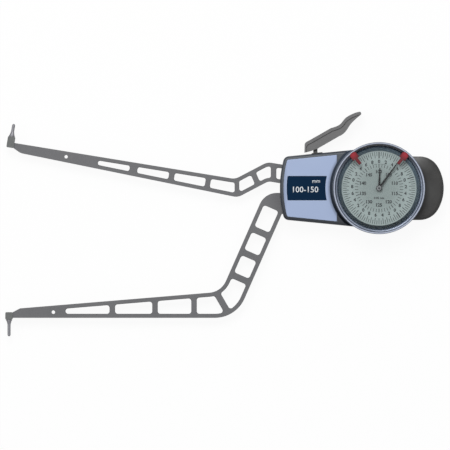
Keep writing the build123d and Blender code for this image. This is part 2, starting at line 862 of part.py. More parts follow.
# Contact heads, one on each arm's tenon, with a cross rivet
head_base = arm_middle - head_thickness / 2
moving_head_centre = (-moving_reach, moving_top - moving_neck_depth + moving_head_height / 2)
with BuildPart() as contact_head_upper:
    with BuildSketch(moving_frame(head_base)):
        with Locations(moving_head_centre):
            RectangleRounded(head_width, moving_head_height, head_round)
        with Locations(moving_rivet):
            Circle(rivet_radius, mode=Mode.SUBTRACT)
    extrude(amount=head_thickness)
    with BuildSketch(moving_frame(arm_base)):
        with Locations(moving_rivet):
            Rectangle(tenon_length, tenon_width)
    extrude(amount=arm_thickness, mode=Mode.SUBTRACT)
save(contact_head_upper, "contact_head_upper")

fixed_head_centre = (fixed_tip_x - head_width / 2, fixed_neck_top - head_height / 2)
with BuildPart() as contact_head_lower:
    with BuildSketch(level(head_base)):
        with Locations(fixed_head_centre):
            RectangleRounded(head_width, head_height, head_round)
        with Locations(fixed_rivet):
            Circle(rivet_radius, mode=Mode.SUBTRACT)
    extrude(amount=head_thickness)
    with BuildSketch(level(arm_base)):
        with Locations(fixed_rivet):
            Rectangle(tenon_length, fixed_neck_depth - 2 * tenon_margin)
    extrude(amount=arm_thickness, mode=Mode.SUBTRACT)
save(contact_head_lower, "contact_head_lower")

with BuildPart() as head_rivet_upper:
    with BuildSketch(moving_frame(head_base)):
        with Locations(moving_rivet):
            Circle(rivet_radius)
    extrude(amount=head_thickness)
save(head_rivet_upper, "head_rivet_upper")

with BuildPart() as head_rivet_lower:
    with BuildSketch(level(head_base)):
        with Locations(fixed_rivet):
            Circle(rivet_radius)
    extrude(amount=head_thickness)
save(head_rivet_lower, "head_rivet_lower")


# Contact pins stand on the heads, each with a ball seated in its tip
turn = radians(moving_tilt)
upper_direction = (sin(turn), cos(turn), 0)
head_top_y = moving_head_centre[1] + moving_head_height / 2
upper_foot = (
    pivot_x - moving_reach * cos(turn) + head_top_y * sin(turn),
    pivot_y + moving_reach * sin(turn) + head_top_y * cos(turn),
    arm_middle,
)
lower_foot = (fixed_head_centre[0], fixed_head_centre[1] - head_height / 2, arm_middle)
upper_plane = Plane(origin=upper_foot, x_dir=(0, 0, 1), z_dir=upper_direction)
lower_plane = Plane(origin=lower_foot, x_dir=(0, 0, 1), z_dir=(0, -1, 0))
shaft_foot = collar_height + cone_height
for name, plane, length in (
    ("upper", upper_plane, moving_pin_length),
    ("lower", lower_plane, fixed_pin_length),
):
    ball_centre = (0, 0, length - ball_radius)
    with BuildPart(plane) as contact_pin:
        Cylinder(collar_radius, collar_height, align=on_base)
        with Locations((0, 0, collar_height)):
            Cone(cone_radius, pin_radius, cone_height, align=on_base)
        with Locations((0, 0, shaft_foot)):
            Cylinder(pin_radius, length - ball_radius - shaft_foot, align=on_base)
        with Locations(ball_centre):
            Sphere(ball_radius, mode=Mode.SUBTRACT)
    save(contact_pin, f"contact_pin_{name}")
    with BuildPart(plane) as contact_ball:
        with Locations(ball_centre):
            Sphere(ball_radius)
    save(contact_ball, f"contact_ball_{name}")

# Arm pivot: a pin in the floor and the bridge, and a bronze bush pressed in the moving arm
with BuildPart() as arm_pivot_pin:
    with BuildSketch(level(pin_base, pivot)):
        Circle(pivot_pin_radius)
    extrude(amount=bridge_top - pin_base)
save(arm_pivot_pin, "arm_pivot_pin")

with BuildPart() as arm_bush:
    with BuildSketch(level(boss_top + sliding_gap, pivot)):
        Circle(pivot_pin_radius + running_gap + bush_wall)
        Circle(pivot_pin_radius + running_gap, mode=Mode.SUBTRACT)
    extrude(amount=bridge_base - boss_top - 2 * sliding_gap)
save(arm_bush, "arm_bush")

# Toothed sector under the moving arm, riveted to its hub
sector_step = 180 * sector_module / sector_radius
sector_middle = (sector_low + sector_high) / 2
tooth_root = sector_radius - tooth_drop * sector_module
tooth_tip = sector_radius + tooth_rise * sector_module
teeth_below = int((sector_mesh - sector_low) / sector_step)
teeth_above = int((sector_high - sector_mesh) / sector_step)
sector_outline = [polar((0, 0), tooth_root, sector_low)]
for tooth in range(-teeth_below, teeth_above + 1):
    middle = sector_mesh + tooth * sector_step
    sector_outline.append(polar((0, 0), tooth_root, middle - tooth_root_share * sector_step))
    sector_outline.append(polar((0, 0), tooth_tip, middle - tooth_tip_share * sector_step))
    sector_outline.append(polar((0, 0), tooth_tip, middle + tooth_tip_share * sector_step))
    sector_outline.append(polar((0, 0), tooth_root, middle + tooth_root_share * sector_step))
sector_outline.append(polar((0, 0), tooth_root, sector_high))
window_radius = sector_radius - sector_rim
window_cut = degrees(asin(sector_spoke / window_radius))
window_low = sector_low + window_cut
window_high = sector_high - window_cut
window_start = sector_spoke / sin(radians((sector_high - sector_low) / 2))
window_point = polar((0, 0), window_start, sector_middle)
window_left = polar((0, 0), window_radius, window_low)
window_right = polar((0, 0), window_radius, window_high)
rivet_points = [polar((0, 0), sector_rivet_circle, angle) for angle in sector_rivet_angles]
with BuildPart() as sector_gear:
    with BuildSketch(level(sector_base, pivot)):
        with BuildLine():
            Polyline((0, 0), *sector_outline, close=True)
        make_face()
        with BuildLine():
            Line(window_point, window_left)
            ThreePointArc(window_left, polar((0, 0), window_radius, sector_middle), window_right)
            Line(window_right, window_point)
        make_face(mode=Mode.SUBTRACT)
        Circle(hub_radius)
        Circle(pivot_pin_radius + running_gap + bush_wall, mode=Mode.SUBTRACT)
        with Locations(*rivet_points):
            Circle(rivet_radius, mode=Mode.SUBTRACT)
        with Locations(polar((0, 0), spring_pin_circle, spring_pin_angle)):
            Circle(spring_pin_radius, mode=Mode.SUBTRACT)
    extrude(amount=sector_thickness)
save(sector_gear, "sector_gear")

with BuildPart() as sector_rivets:
    with BuildSketch(level(sector_base, pivot)):
        with Locations(*rivet_points):
            Circle(rivet_radius)
    extrude(amount=sector_thickness + arm_thickness)
    with BuildSketch(level(arm_top, pivot)):
        with Locations(*rivet_points):
            Circle(rivet_head)
    extrude(amount=rivet_head_height)
save(sector_rivets, "sector_rivets")

# Leaf spring that opens the arms, its pin on the sector and its anchor on a bridge pillar
spring_base = arm_base + spring_lift
spring_pin = polar(pivot, spring_pin_circle, spring_pin_angle)
with BuildPart() as spring_pin_post:
    with BuildSketch(level(sector_base, spring_pin)):
        Circle(spring_pin_radius)
    extrude(amount=spring_base + spring_width + spring_pin_over - sector_base)
save(spring_pin_post, "spring_pin")

anchor = pillar_points[3]
spring_run = hypot(spring_pin[0] - anchor[0], spring_pin[1] - anchor[1])
spring_aim = degrees(atan2(spring_pin[1] - anchor[1], spring_pin[0] - anchor[0]))
spring_skew = degrees(asin((spring_pin_radius - pillar_radius) / spring_run))
with BuildPart() as return_spring:
    with BuildSketch(level(spring_base, anchor, spring_aim + spring_skew)):
        Circle(pillar_radius + spring_leaf)
        Circle(pillar_radius, mode=Mode.SUBTRACT)
        with Locations(((spring_run + spring_pin_radius) / 2, pillar_radius + spring_leaf / 2)):
            Rectangle(spring_run + spring_pin_radius, spring_leaf)
    extrude(amount=spring_width)
save(return_spring, "return_spring")

# Stops for the sector at both ends of its travel
with BuildPart() as stop_pins:
    with BuildSketch(level(pin_base)):
        with Locations(low_stop, high_stop):
            Circle(stop_radius)
    extrude(amount=arm_base - pin_base)
save(stop_pins, "stop_pins")

# Bridge plate over the movement, on four pillars
with BuildPart() as movement_bridge:
    with BuildSketch(Plane.XY.offset(bridge_base)):
        with Locations(pivot):
            Circle(pivot_pin_radius + bridge_pivot_margin)
        with Locations(lever_pivot):
            Circle(lever_pin_radius + bridge_lever_margin)
        Circle(bridge_radius)
        make_hull()
        with Locations(pivot):
            Circle(pivot_pin_radius, mode=Mode.SUBTRACT)
        with Locations(lever_pivot):
            Circle(lever_pin_radius, mode=Mode.SUBTRACT)
        with Locations(first_arbor):
            Circle(first_arbor_radius + running_gap, mode=Mode.SUBTRACT)
        Circle(centre_arbor_radius + 2 * running_gap + pipe_wall, mode=Mode.SUBTRACT)
        with Locations(*pillar_points):
            Circle(screw_radius, mode=Mode.SUBTRACT)
    extrude(amount=bridge_thickness)
save(movement_bridge, "movement_bridge")

with BuildPart() as bridge_pillars:
    with BuildSketch(Plane.XY.offset(floor_top)):
        with Locations(*pillar_points):
            Circle(pillar_radius)
            Circle(screw_radius, mode=Mode.SUBTRACT)
    extrude(amount=bridge_base - floor_top)
save(bridge_pillars, "bridge_pillars")

with BuildPart() as bridge_screws:
    with BuildSketch(Plane.XY.offset(bridge_base - bridge_screw_depth)):
        with Locations(*pillar_points):
            Circle(screw_radius)
    extrude(amount=bridge_thickness + bridge_screw_depth)
    with BuildSketch(Plane.XY.offset(bridge_top)):
        with Locations(*pillar_points):
            Circle(pillar_radius)
            Rectangle(2 * pillar_radius, driver_slot, mode=Mode.SUBTRACT)
    extrude(amount=bridge_screw_head)
save(bridge_screws, "bridge_screws")

# First arbor with the pinion that the sector drives
mesh_back = sector_mesh + 180
first_mesh = first_arbor_angle + 180
with BuildPart() as first_arbor_shaft:
    with BuildSketch(level(arbor_base, first_arbor)):
        Circle(first_arbor_radius)
    extrude(amount=bridge_top - sliding_gap - arbor_base)
    with BuildSketch(level(sector_base - pinion_overlap, first_arbor)):
        add(gear_face(pinion_teeth, sector_module, mesh_back + 180 / pinion_teeth))
    extrude(amount=sector_thickness + 2 * pinion_overlap)
save(first_arbor_shaft, "first_arbor")

wheel_base = arm_base + wheel_lift
with BuildPart() as first_wheel:
    with BuildSketch(level(wheel_base, first_arbor)):
        add(gear_face(wheel_teeth, train_module, first_mesh))
        with PolarLocations(wheel_radius * wheel_hole_circle, 5):
            Circle(wheel_radius * wheel_hole_share, mode=Mode.SUBTRACT)
        Circle(first_arbor_radius, mode=Mode.SUBTRACT)
    extrude(amount=wheel_thickness)
save(first_wheel, "first_wheel")

counter_base = arm_top - counter_drop
counter_radius = train_module * counter_teeth / 2
with BuildPart() as counter_gear:
    with BuildSketch(level(counter_base, first_arbor)):
        add(gear_face(counter_teeth, train_module, first_mesh))
        Circle(first_arbor_radius, mode=Mode.SUBTRACT)
    extrude(amount=wheel_thickness)
    with BuildSketch(level(wheel_base + wheel_thickness, first_arbor)):
        Circle(first_arbor_radius + counter_collar)
        Circle(first_arbor_radius, mode=Mode.SUBTRACT)
    extrude(amount=counter_base - wheel_base - wheel_thickness)
save(counter_gear, "counter_gear")

# Centre arbor that carries the long hand, with its pinion
with BuildPart() as centre_arbor:
    with BuildSketch(Plane.XY.offset(arbor_base)):
        Circle(centre_arbor_radius)
    extrude(amount=crystal_base - arbor_headroom - arbor_base)
    with BuildSketch(Plane.XY.offset(wheel_base - pinion_overlap)):
        add(gear_face(pinion_teeth, train_module, first_arbor_angle + 180 / pinion_teeth))
    extrude(amount=wheel_thickness + 2 * pinion_overlap)
save(centre_arbor, "centre_arbor")

# Wheel and pipe that carry the small hand
pipe_bore = centre_arbor_radius + running_gap
pipe_radius = pipe_bore + pipe_wall
small_hand_base = dial_top + hand_lift
long_hand_base = small_hand_base + hand_thickness + hand_spacing
long_hand_top = long_hand_base + hand_thickness
with BuildPart() as hour_wheel:
    with BuildSketch(Plane.XY.offset(counter_base)):
        add(gear_face(counter_teeth, train_module, first_arbor_angle + 180 / counter_teeth))
        with PolarLocations(counter_radius * wheel_hole_circle, 5):
            Circle(counter_radius * wheel_hole_share, mode=Mode.SUBTRACT)
        Circle(pipe_bore, mode=Mode.SUBTRACT)
    extrude(amount=wheel_thickness)
    with BuildSketch(Plane.XY.offset(counter_base)):
        Circle(pipe_radius)
        Circle(pipe_bore, mode=Mode.SUBTRACT)
    extrude(amount=small_hand_base + hand_thickness - counter_base)
save(hour_wheel, "hour_wheel")

# Hairspring that takes up the backlash: half rings joined end to end, a collet and a stud
hair_base = sector_base - hair_drop
with BuildPart() as hairspring:
    with BuildSketch(Plane.XY.offset(hair_base)):
        for coil in range(hair_coils):
            radius = hair_inner + coil * hair_pitch
            with BuildSketch(mode=Mode.PRIVATE) as upper_half:
                Circle(radius + hair_strip / 2)
                Circle(radius - hair_strip / 2, mode=Mode.SUBTRACT)
                with Locations((0, -radius)):
                    Rectangle(4 * radius, 2 * radius, mode=Mode.SUBTRACT)
            add(upper_half.sketch)
            with BuildSketch(mode=Mode.PRIVATE) as lower_half:
                with Locations((hair_pitch / 2, 0)):
                    Circle(radius + hair_pitch / 2 + hair_strip / 2)
                    Circle(radius + hair_pitch / 2 - hair_strip / 2, mode=Mode.SUBTRACT)
                with Locations((0, 2 * radius)):
                    Rectangle(8 * radius, 4 * radius, mode=Mode.SUBTRACT)
            add(lower_half.sketch)
    extrude(amount=hair_width)
save(hairspring, "hairspring")

with BuildPart() as hairspring_collet:
    with BuildSketch(Plane.XY.offset(hair_base - collet_rim)):
        Circle(hair_inner - hair_strip / 2)
        Circle(centre_arbor_radius, mode=Mode.SUBTRACT)
    extrude(amount=hair_width + 2 * collet_rim)
save(hairspring_collet, "hairspring_collet")

with BuildPart() as hairspring_stud:
    with BuildSketch(level(pin_base, (stud_x, 0))):
        Circle(stud_radius)
    extrude(amount=hair_base + hair_width + collet_rim - pin_base)
save(hairspring_stud, "hairspring_stud")

# Finger lever: a wide finger plate over a narrower web, with a socket for its shank
run_direction = (cos(radians(lever_run_angle)), sin(radians(lever_run_angle)))
with BuildSketch() as lever_face:
    with BuildLine():
        Line(lever_heel, lever_heel_top)
        Spline(lever_heel_top, lever_run_start, tangents=((0, 1), run_direction))
        Line(lever_run_start, lever_run_end)
        Spline(lever_run_end, *lever_crest, lever_tip)
        ThreePointArc(lever_tip, lever_tip_end, lever_tip_under)
        Spline(lever_tip_under, *lever_belly, lever_under_end)
        Polyline(lever_under_end, lever_under_start, *lever_socket, lever_heel)
    make_face()

plate_shift = (lever_plate_thickness * run_direction[1], -lever_plate_thickness * run_direction[0])
groove_drop = lever_plate_thickness + lever_groove_width
groove_shift = (groove_drop * run_direction[1], -groove_drop * run_direction[0])
web_base = arm_middle - lever_web_thickness / 2
web_top = arm_middle + lever_web_thickness / 2
shank_rivet_place = (lever_pivot[0], shank_top_y - shank_rivet_drop)
shank_rivet_length = lever_web_thickness - blind_skin
with BuildPart() as lever:
    with BuildSketch(level(web_base, pivot)):
        add(lever_face.sketch)
    extrude(amount=lever_web_thickness)
    with BuildSketch(level(arm_middle - lever_plate_width / 2, pivot)):
        add(lever_face.sketch)
        with Locations(plate_shift):
            add(lever_face.sketch, mode=Mode.SUBTRACT)
    extrude(amount=lever_plate_width)
    with BuildSketch(level(web_base, pivot), level(web_top - lever_groove_depth, pivot)):
        with Locations(plate_shift):
            add(lever_face.sketch)
        with Locations(groove_shift):
            add(lever_face.sketch, mode=Mode.SUBTRACT)
    extrude(amount=lever_groove_depth, mode=Mode.SUBTRACT)
    with BuildSketch(Plane.XY.offset(arm_middle - tenon_thickness / 2)):
        with Locations((lever_pivot[0], (shank_shoulder_y + shank_top_y) / 2)):
            Rectangle(shank_width, shank_top_y - shank_shoulder_y)
    extrude(amount=tenon_thickness, mode=Mode.SUBTRACT)
    with BuildSketch(Plane.XY.offset(web_base)):
        with Locations(shank_rivet_place):
            Circle(rivet_radius)
    extrude(amount=shank_rivet_length, mode=Mode.SUBTRACT)
save(lever, "lever")

# Shank of the lever: it turns on a pin in the housing, and its ball-ended tail works in the arm's fork
shank_bore = lever_pin_radius + running_gap + lever_bush_wall
with BuildPart() as lever_shank:
    with BuildSketch(Plane.XY.offset(arm_middle - shank_thickness / 2)):
        with Locations((lever_pivot[0], (lever_pivot[1] + shank_shoulder_y) / 2)):
            Rectangle(shank_width, shank_shoulder_y - lever_pivot[1])
    extrude(amount=shank_thickness)
    with BuildSketch(Plane.XY.offset(arm_middle - tenon_thickness / 2)):
        with Locations((lever_pivot[0], (lever_pivot[1] + shank_top_y) / 2)):
            Rectangle(shank_width, shank_top_y - lever_pivot[1])
    extrude(amount=tenon_thickness)
    with BuildSketch(level(boss_top + sliding_gap, lever_pivot)):
        Circle(shank_hub_radius)
    extrude(amount=bridge_base - boss_top - 2 * sliding_gap)
    with BuildSketch(level(arm_base + free_gap, lever_pivot, tail_angle)):
        with Locations((lever_tail / 2, 0)):
            Rectangle(lever_tail, tail_width)
        with Locations((lever_tail, 0)):
            Circle(tail_ball_radius)
    extrude(amount=arm_thickness - 2 * free_gap)
    with BuildSketch(level(boss_top, lever_pivot)):
        Circle(shank_bore)
    extrude(amount=bridge_base - boss_top, mode=Mode.SUBTRACT)
    with BuildSketch(Plane.XY.offset(arm_middle - tenon_thickness / 2)):
        with Locations(shank_rivet_place):
            Circle(rivet_radius)
    extrude(amount=tenon_thickness, mode=Mode.SUBTRACT)
save(lever_shank, "lever_shank")

with BuildPart() as shank_rivet:
    with BuildSketch(Plane.XY.offset(web_base)):
        with Locations(shank_rivet_place):
            Circle(rivet_radius)
    extrude(amount=shank_rivet_length)
save(shank_rivet, "shank_rivet")

with BuildPart() as lever_bush:
    with BuildSketch(level(boss_top + sliding_gap, lever_pivot)):
        Circle(shank_bore)
        Circle(lever_pin_radius + running_gap, mode=Mode.SUBTRACT)
    extrude(amount=bridge_base - boss_top - 2 * sliding_gap)
save(lever_bush, "lever_bush")

with BuildPart() as lever_pin:
    with BuildSketch(level(pin_base, lever_pivot)):
        Circle(lever_pin_radius)
    extrude(amount=bridge_top - pin_base)
save(lever_pin, "lever_pin")

# Rubber collar round the slot that the shank comes out of
with BuildPart() as lever_boot:
    with BuildSketch(top_wall(0)):
        with Locations((slot_shift, 0)):
            Rectangle(slot_length + 2 * boot_wall, slot_height + 2 * boot_wall)
            Rectangle(slot_length, slot_height, mode=Mode.SUBTRACT)
    extrude(amount=boot_height)
save(lever_boot, "lever_boot")

# Rings of the dial, all turned about the dial axis
skirt_inner = bezel_radius - skirt_wall
spigot_outer = skirt_inner - running_gap
spigot_inner = spigot_outer - spigot_wall
inner_skirt_outer = spigot_inner - sliding_gap
inner_skirt_inner = inner_skirt_outer - inner_skirt_wall
spigot_top = dial_top + spigot_rise
skirt_roof = spigot_top + free_gap
ring_base = dial_base - ring_drop
ring_top = ring_base + ring_wire
ring_inner = spigot_outer - ring_wire / 2
ring_outer = skirt_inner + ring_wire / 2
cone_outer = inner_skirt_inner - crystal_seat_gap
gasket_base = crystal_base - gasket_thickness
flange_inner = dial_radius + dial_flange_step
flange_base = dial_base - dial_flange
lip_top = bezel_top - lip_thickness
case_floor = case_front + case_flange
crystal_bore = crystal_radius + crystal_seat_gap
groove_radius = lip_radius + undercut


def turned(points):
    with BuildPart() as ring:
        with BuildSketch(Plane.XZ):
            with BuildLine():
                Polyline(*points, close=True)
            make_face()
        revolve(axis=Axis.Z)
    return ring


dial_case = turned([
    (dial_case_inner, case_front),
    (spigot_outer, case_front),
    (spigot_outer, ring_base),
    (ring_inner, ring_base),
    (ring_inner, ring_top),
    (spigot_outer, ring_top),
    (spigot_outer, spigot_top),
    (spigot_inner, spigot_top),
    (spigot_inner, case_floor),
    (dial_case_inner, case_floor),
])
with BuildPart() as dial_case_drilled:
    add(dial_case.part)
    with BuildSketch(Plane.XY.offset(case_front)):
        with PolarLocations(dial_screw_circle, 3, start_angle=30):
            Circle(dial_screw_radius)
    extrude(amount=case_flange, mode=Mode.SUBTRACT)
save(dial_case_drilled, "dial_case")

with BuildPart() as dial_case_screws:
    with BuildSketch(Plane.XY.offset(case_front)):
        with PolarLocations(dial_screw_circle, 3, start_angle=30):
            Circle(dial_screw_radius)
    extrude(amount=case_flange)
    with BuildSketch(Plane.XY.offset(case_floor)):
        with PolarLocations(dial_screw_circle, 3, start_angle=30):
            Circle(dial_screw_head)
    extrude(amount=dial_screw_head_height)
save(dial_case_screws, "dial_case_screws")

save(turned([
    (ring_inner, ring_base),
    (ring_outer, ring_base),
    (ring_outer, ring_top),
    (ring_inner, ring_top),
]), "bezel_retaining_ring")

bezel_ring = turned([
    (flange_inner, flange_base),
    (inner_skirt_outer, flange_base),
    (inner_skirt_outer, skirt_roof),
    (skirt_inner, skirt_roof),
    (skirt_inner, ring_top + sliding_gap),
    (ring_outer + sliding_gap, ring_top + sliding_gap),
    (ring_outer + sliding_gap, ring_base - sliding_gap),
    (skirt_inner, ring_base - sliding_gap),
    (skirt_inner, bezel_base),
    (bezel_radius, bezel_base),
    (bezel_radius, bezel_top - bezel_chamfer),
    (bezel_radius - bezel_chamfer, bezel_top),
    (lip_radius, bezel_top),
    (lip_radius, lip_top),
    (groove_radius, lip_top),
    (groove_radius, retainer_top),
    (retainer_radius, retainer_top),
    (retainer_radius, crystal_top),
    (crystal_bore, crystal_top),
    (crystal_bore, gasket_base),
    (inner_skirt_inner, gasket_base),
    (inner_skirt_inner, dial_base),
    (flange_inner, dial_base),
])
save(bezel_ring, "bezel_ring")

save(turned([
    (dial_radius, dial_top),
    (cone_outer, dial_top),
    (cone_outer, gasket_base),
    (cone_top_radius, gasket_base),
    (dial_radius, dial_top + cone_lip),
]), "bezel_inner_ring")

save(turned([
    (cone_top_radius + gasket_inset, gasket_base),
    (crystal_radius - gasket_inset, gasket_base),
    (crystal_radius - gasket_inset, crystal_base),
    (cone_top_radius + gasket_inset, crystal_base),
]), "crystal_gasket")

save(turned([
    (0, crystal_base),
    (crystal_radius, crystal_base),
    (crystal_radius, crystal_top),
    (0, crystal_top),
]), "crystal")

save(turned([
    (retainer_inner, crystal_top),
    (retainer_radius, crystal_top),
    (retainer_radius, retainer_top),
    (retainer_inner, retainer_top),
]), "crystal_retainer")

save(turned([
    (pipe_radius + free_gap, dial_base),
    (cone_outer, dial_base),
    (cone_outer, dial_top),
    (pipe_radius + free_gap, dial_top),
]), "dial_face")

# Red tolerance markers: each slides round the rim with its lip in the undercut
marker_base = retainer_top + running_gap
marker_outer = lip_radius - free_gap
finger_end = marker_inner + marker_overlap
for side, angle in (("left", 90 + marker_angle), ("right", 90 - marker_angle)):
    with BuildPart() as marker:
        with BuildSketch(level(marker_base, turn=angle)) as marker_plan:
            Circle(marker_outer)
            with Locations((marker_inner + marker_outer / 2, 0)):
                Rectangle(marker_outer, marker_width, mode=Mode.INTERSECT)
            fillet(marker_plan.vertices().group_by(Axis.X)[-1], marker_corner)
            fillet(marker_plan.vertices().group_by(Axis.X)[0], marker_inner_corner)
            with Locations(((finger_inner + finger_end) / 2, 0)):
                Rectangle(finger_end - finger_inner, finger_width)
        extrude(amount=marker_height)
        chamfer(marker.faces().sort_by(Axis.Z)[-1].edges(), edge_break)
        with BuildSketch(level(marker_base, turn=angle)):
            Circle(groove_radius - sliding_gap)
            Circle(marker_outer - marker_overlap, mode=Mode.SUBTRACT)
            with Locations((marker_outer, 0)):
                Rectangle(marker_outer, marker_hook_width, mode=Mode.INTERSECT)
        extrude(amount=marker_lip)
    save(marker, f"tolerance_marker_{side}")


# Hands
def hand(base, angle, reach, tip_width, bore):
    with BuildPart() as pointer:
        with BuildSketch(level(base, turn=angle)):
            with BuildLine():
                Polyline(
                    (-hand_tail, -hand_root_width / 2),
                    (reach, -tip_width / 2),
                    (reach, tip_width / 2),
                    (-hand_tail, hand_root_width / 2),
                    close=True,
                )
            make_face()
            Circle(hand_hub)
            Circle(bore, mode=Mode.SUBTRACT)
        extrude(amount=hand_thickness)
    return pointer


small_pointer = hand(small_hand_base, small_hand_angle, small_hand_reach, small_hand_tip, pipe_radius)
save(small_pointer, "small_hand")
long_pointer = hand(long_hand_base, long_hand_angle, long_hand_reach, long_hand_tip, centre_arbor_radius)
save(long_pointer, "long_hand")

save(turned([
    (centre_arbor_radius, long_hand_top),
    (hand_cap_radius, long_hand_top),
    (hand_cap_radius, long_hand_top + hand_cap_rim),
    (hand_cap_radius - hand_cap_slope, long_hand_top + hand_cap_height),
    (centre_arbor_radius, long_hand_top + hand_cap_height),
]), "hand_cap")

# Rubber grip cap over the tongue, held by two screws from the back
grip_screw_base = free_gap + grip_screw_sink
grip_head_height = screw_head - screw_radius
with BuildPart() as grip_cap:
    with BuildSketch(Plane.XY.offset(free_gap)) as grip_plan:
        with Locations((grip_end_x - grip_end_radius, 0)):
            Circle(grip_end_radius)
        with Locations((grip_end_x, 0)):
            Rectangle(2 * grip_end_x, 2 * grip_half, mode=Mode.INTERSECT)
        fillet(grip_plan.vertices().group_by(Axis.X)[-1], grip_corner)
    extrude(amount=grip_top - free_gap)
    fillet(grip_cap.faces().sort_by(Axis.Z)[-1].edges().sort_by(Axis.X)[1:], grip_round)
    with BuildSketch(Plane.XY.offset(free_gap)):
        Circle(case_radius)
    extrude(amount=grip_top - free_gap, mode=Mode.SUBTRACT)
    with BuildSketch(Plane.XY.offset(tongue_base)):
        with Locations((tongue_end_x / 2, 0)):
            Rectangle(tongue_end_x, 2 * tongue_half)
    extrude(amount=tongue_top - tongue_base, mode=Mode.SUBTRACT)
    with BuildSketch(Plane.XY.offset(free_gap)):
        with Locations(*grip_points):
            Circle(screw_head)
    extrude(amount=grip_screw_sink + grip_head_height, mode=Mode.SUBTRACT)
    with BuildSketch(Plane.XY.offset(free_gap)):
        with Locations(*grip_points):
            Circle(screw_radius)
    extrude(amount=tongue_margin, mode=Mode.SUBTRACT)
save(grip_cap, "grip_cap")

with BuildPart() as grip_screws:
    with BuildSketch(Plane.XY.offset(grip_screw_base)):
        with Locations(*grip_points):
            Circle(screw_head)
    extrude(amount=grip_head_height)
    with BuildSketch(Plane.XY.offset(grip_screw_base)):
        with Locations(*grip_points):
            Rectangle(2 * screw_head, driver_slot)
    extrude(amount=driver_slot, mode=Mode.SUBTRACT)
    with BuildSketch(Plane.XY.offset(grip_screw_base + driver_slot)):
        with Locations(*grip_points):
            Circle(screw_radius)
    extrude(amount=grip_screw_length)
save(grip_screws, "grip_screws")
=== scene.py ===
import math

import bmesh
import bpy
from mathutils import Matrix, Vector


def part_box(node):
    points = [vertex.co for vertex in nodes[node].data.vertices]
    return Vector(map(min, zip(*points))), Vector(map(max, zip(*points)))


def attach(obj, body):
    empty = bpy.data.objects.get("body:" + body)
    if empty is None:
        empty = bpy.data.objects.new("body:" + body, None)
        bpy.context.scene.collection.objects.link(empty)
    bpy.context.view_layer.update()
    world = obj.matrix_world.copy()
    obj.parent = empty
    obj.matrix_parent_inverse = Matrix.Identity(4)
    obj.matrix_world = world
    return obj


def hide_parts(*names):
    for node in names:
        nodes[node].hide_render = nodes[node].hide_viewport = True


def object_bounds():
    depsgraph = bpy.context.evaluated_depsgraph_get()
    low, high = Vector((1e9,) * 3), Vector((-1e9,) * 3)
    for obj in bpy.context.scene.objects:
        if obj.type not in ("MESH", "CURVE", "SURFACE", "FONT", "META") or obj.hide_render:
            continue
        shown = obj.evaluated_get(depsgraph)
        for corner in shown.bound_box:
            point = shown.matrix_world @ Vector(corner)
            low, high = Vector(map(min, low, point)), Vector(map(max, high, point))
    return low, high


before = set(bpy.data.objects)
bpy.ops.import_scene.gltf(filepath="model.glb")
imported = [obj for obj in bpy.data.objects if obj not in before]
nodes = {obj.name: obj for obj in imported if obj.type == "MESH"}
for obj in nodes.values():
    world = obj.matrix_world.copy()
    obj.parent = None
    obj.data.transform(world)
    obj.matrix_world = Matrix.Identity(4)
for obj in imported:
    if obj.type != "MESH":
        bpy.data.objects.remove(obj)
cadLow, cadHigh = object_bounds()
scene = bpy.context.scene
mm = 0.001
print("stage: frame loaded,", len(nodes), "nodes")


# Small helpers for node trees. A value is either a number, a tuple or another node's output.

def fill(tree, socket, value):
    if isinstance(value, (int, float, tuple)):
        socket.default_value = value
    else:
        tree.links.new(value, socket)


def mathNode(tree, operation, first, second=None, clamp=False):
    node = tree.nodes.new("ShaderNodeMath")
    node.operation = operation
    node.use_clamp = clamp
    fill(tree, node.inputs[0], first)
    if second is not None:
        fill(tree, node.inputs[1], second)
    return node.outputs[0]


def vectorNode(tree, operation, first, second=None):
    node = tree.nodes.new("ShaderNodeVectorMath")
    node.operation = operation
    fill(tree, node.inputs[0], first)
    if second is not None:
        fill(tree, node.inputs[1], second)
    return node.outputs["Value" if operation in ("LENGTH", "DOT_PRODUCT") else "Vector"]


def rangeNode(tree, value, fromLow, fromHigh, toLow, toHigh):
    node = tree.nodes.new("ShaderNodeMapRange")
    tree.links.new(value, node.inputs["Value"])
    wanted = {"From Min": fromLow, "From Max": fromHigh, "To Min": toLow, "To Max": toHigh}
    for label, amount in wanted.items():
        fill(tree, node.inputs[label], amount)
    return node.outputs["Result"]


def noiseNode(tree, place, scale, detail, rough):
    node = tree.nodes.new("ShaderNodeTexNoise")
    tree.links.new(place, node.inputs["Vector"])
    fill(tree, node.inputs["Scale"], scale)
    node.inputs["Detail"].default_value = detail
    node.inputs["Roughness"].default_value = rough
    return node.outputs["Fac"]


def mixColours(tree, share, first, second):
    node = tree.nodes.new("ShaderNodeMix")
    node.data_type = "RGBA"
    sockets = [s for s in node.inputs if s.enabled]
    for socket, value in zip(sockets, (share, first, second)):
        fill(tree, socket, value)
    return [s for s in node.outputs if s.enabled][0]


def splitAxes(tree, vector):
    node = tree.nodes.new("ShaderNodeSeparateXYZ")
    tree.links.new(vector, node.inputs[0])
    return node.outputs


def reachFromAxis(tree, place):
    # Distance from the dial's axis, which stands on the origin.
    flat = vectorNode(tree, "MULTIPLY", place, (1.0, 1.0, 0.0))
    return vectorNode(tree, "LENGTH", flat)


def dye(colour):
    return (colour[0], colour[1], colour[2], 1.0)


# Shared effects: each is a group that any finish can take in.

def newGroup(name, inputs, outputs):
    tree = bpy.data.node_groups.new(name, "ShaderNodeTree")
    for label, kind, value in inputs:
        socket = tree.interface.new_socket(label, in_out="INPUT", socket_type=kind)
        if value is not None:
            socket.default_value = value
    for label in outputs:
        tree.interface.new_socket(label, in_out="OUTPUT", socket_type="NodeSocketFloat")
    start = tree.nodes.new("NodeGroupInput")
    end = tree.nodes.new("NodeGroupOutput")
    return tree, start.outputs, end.inputs


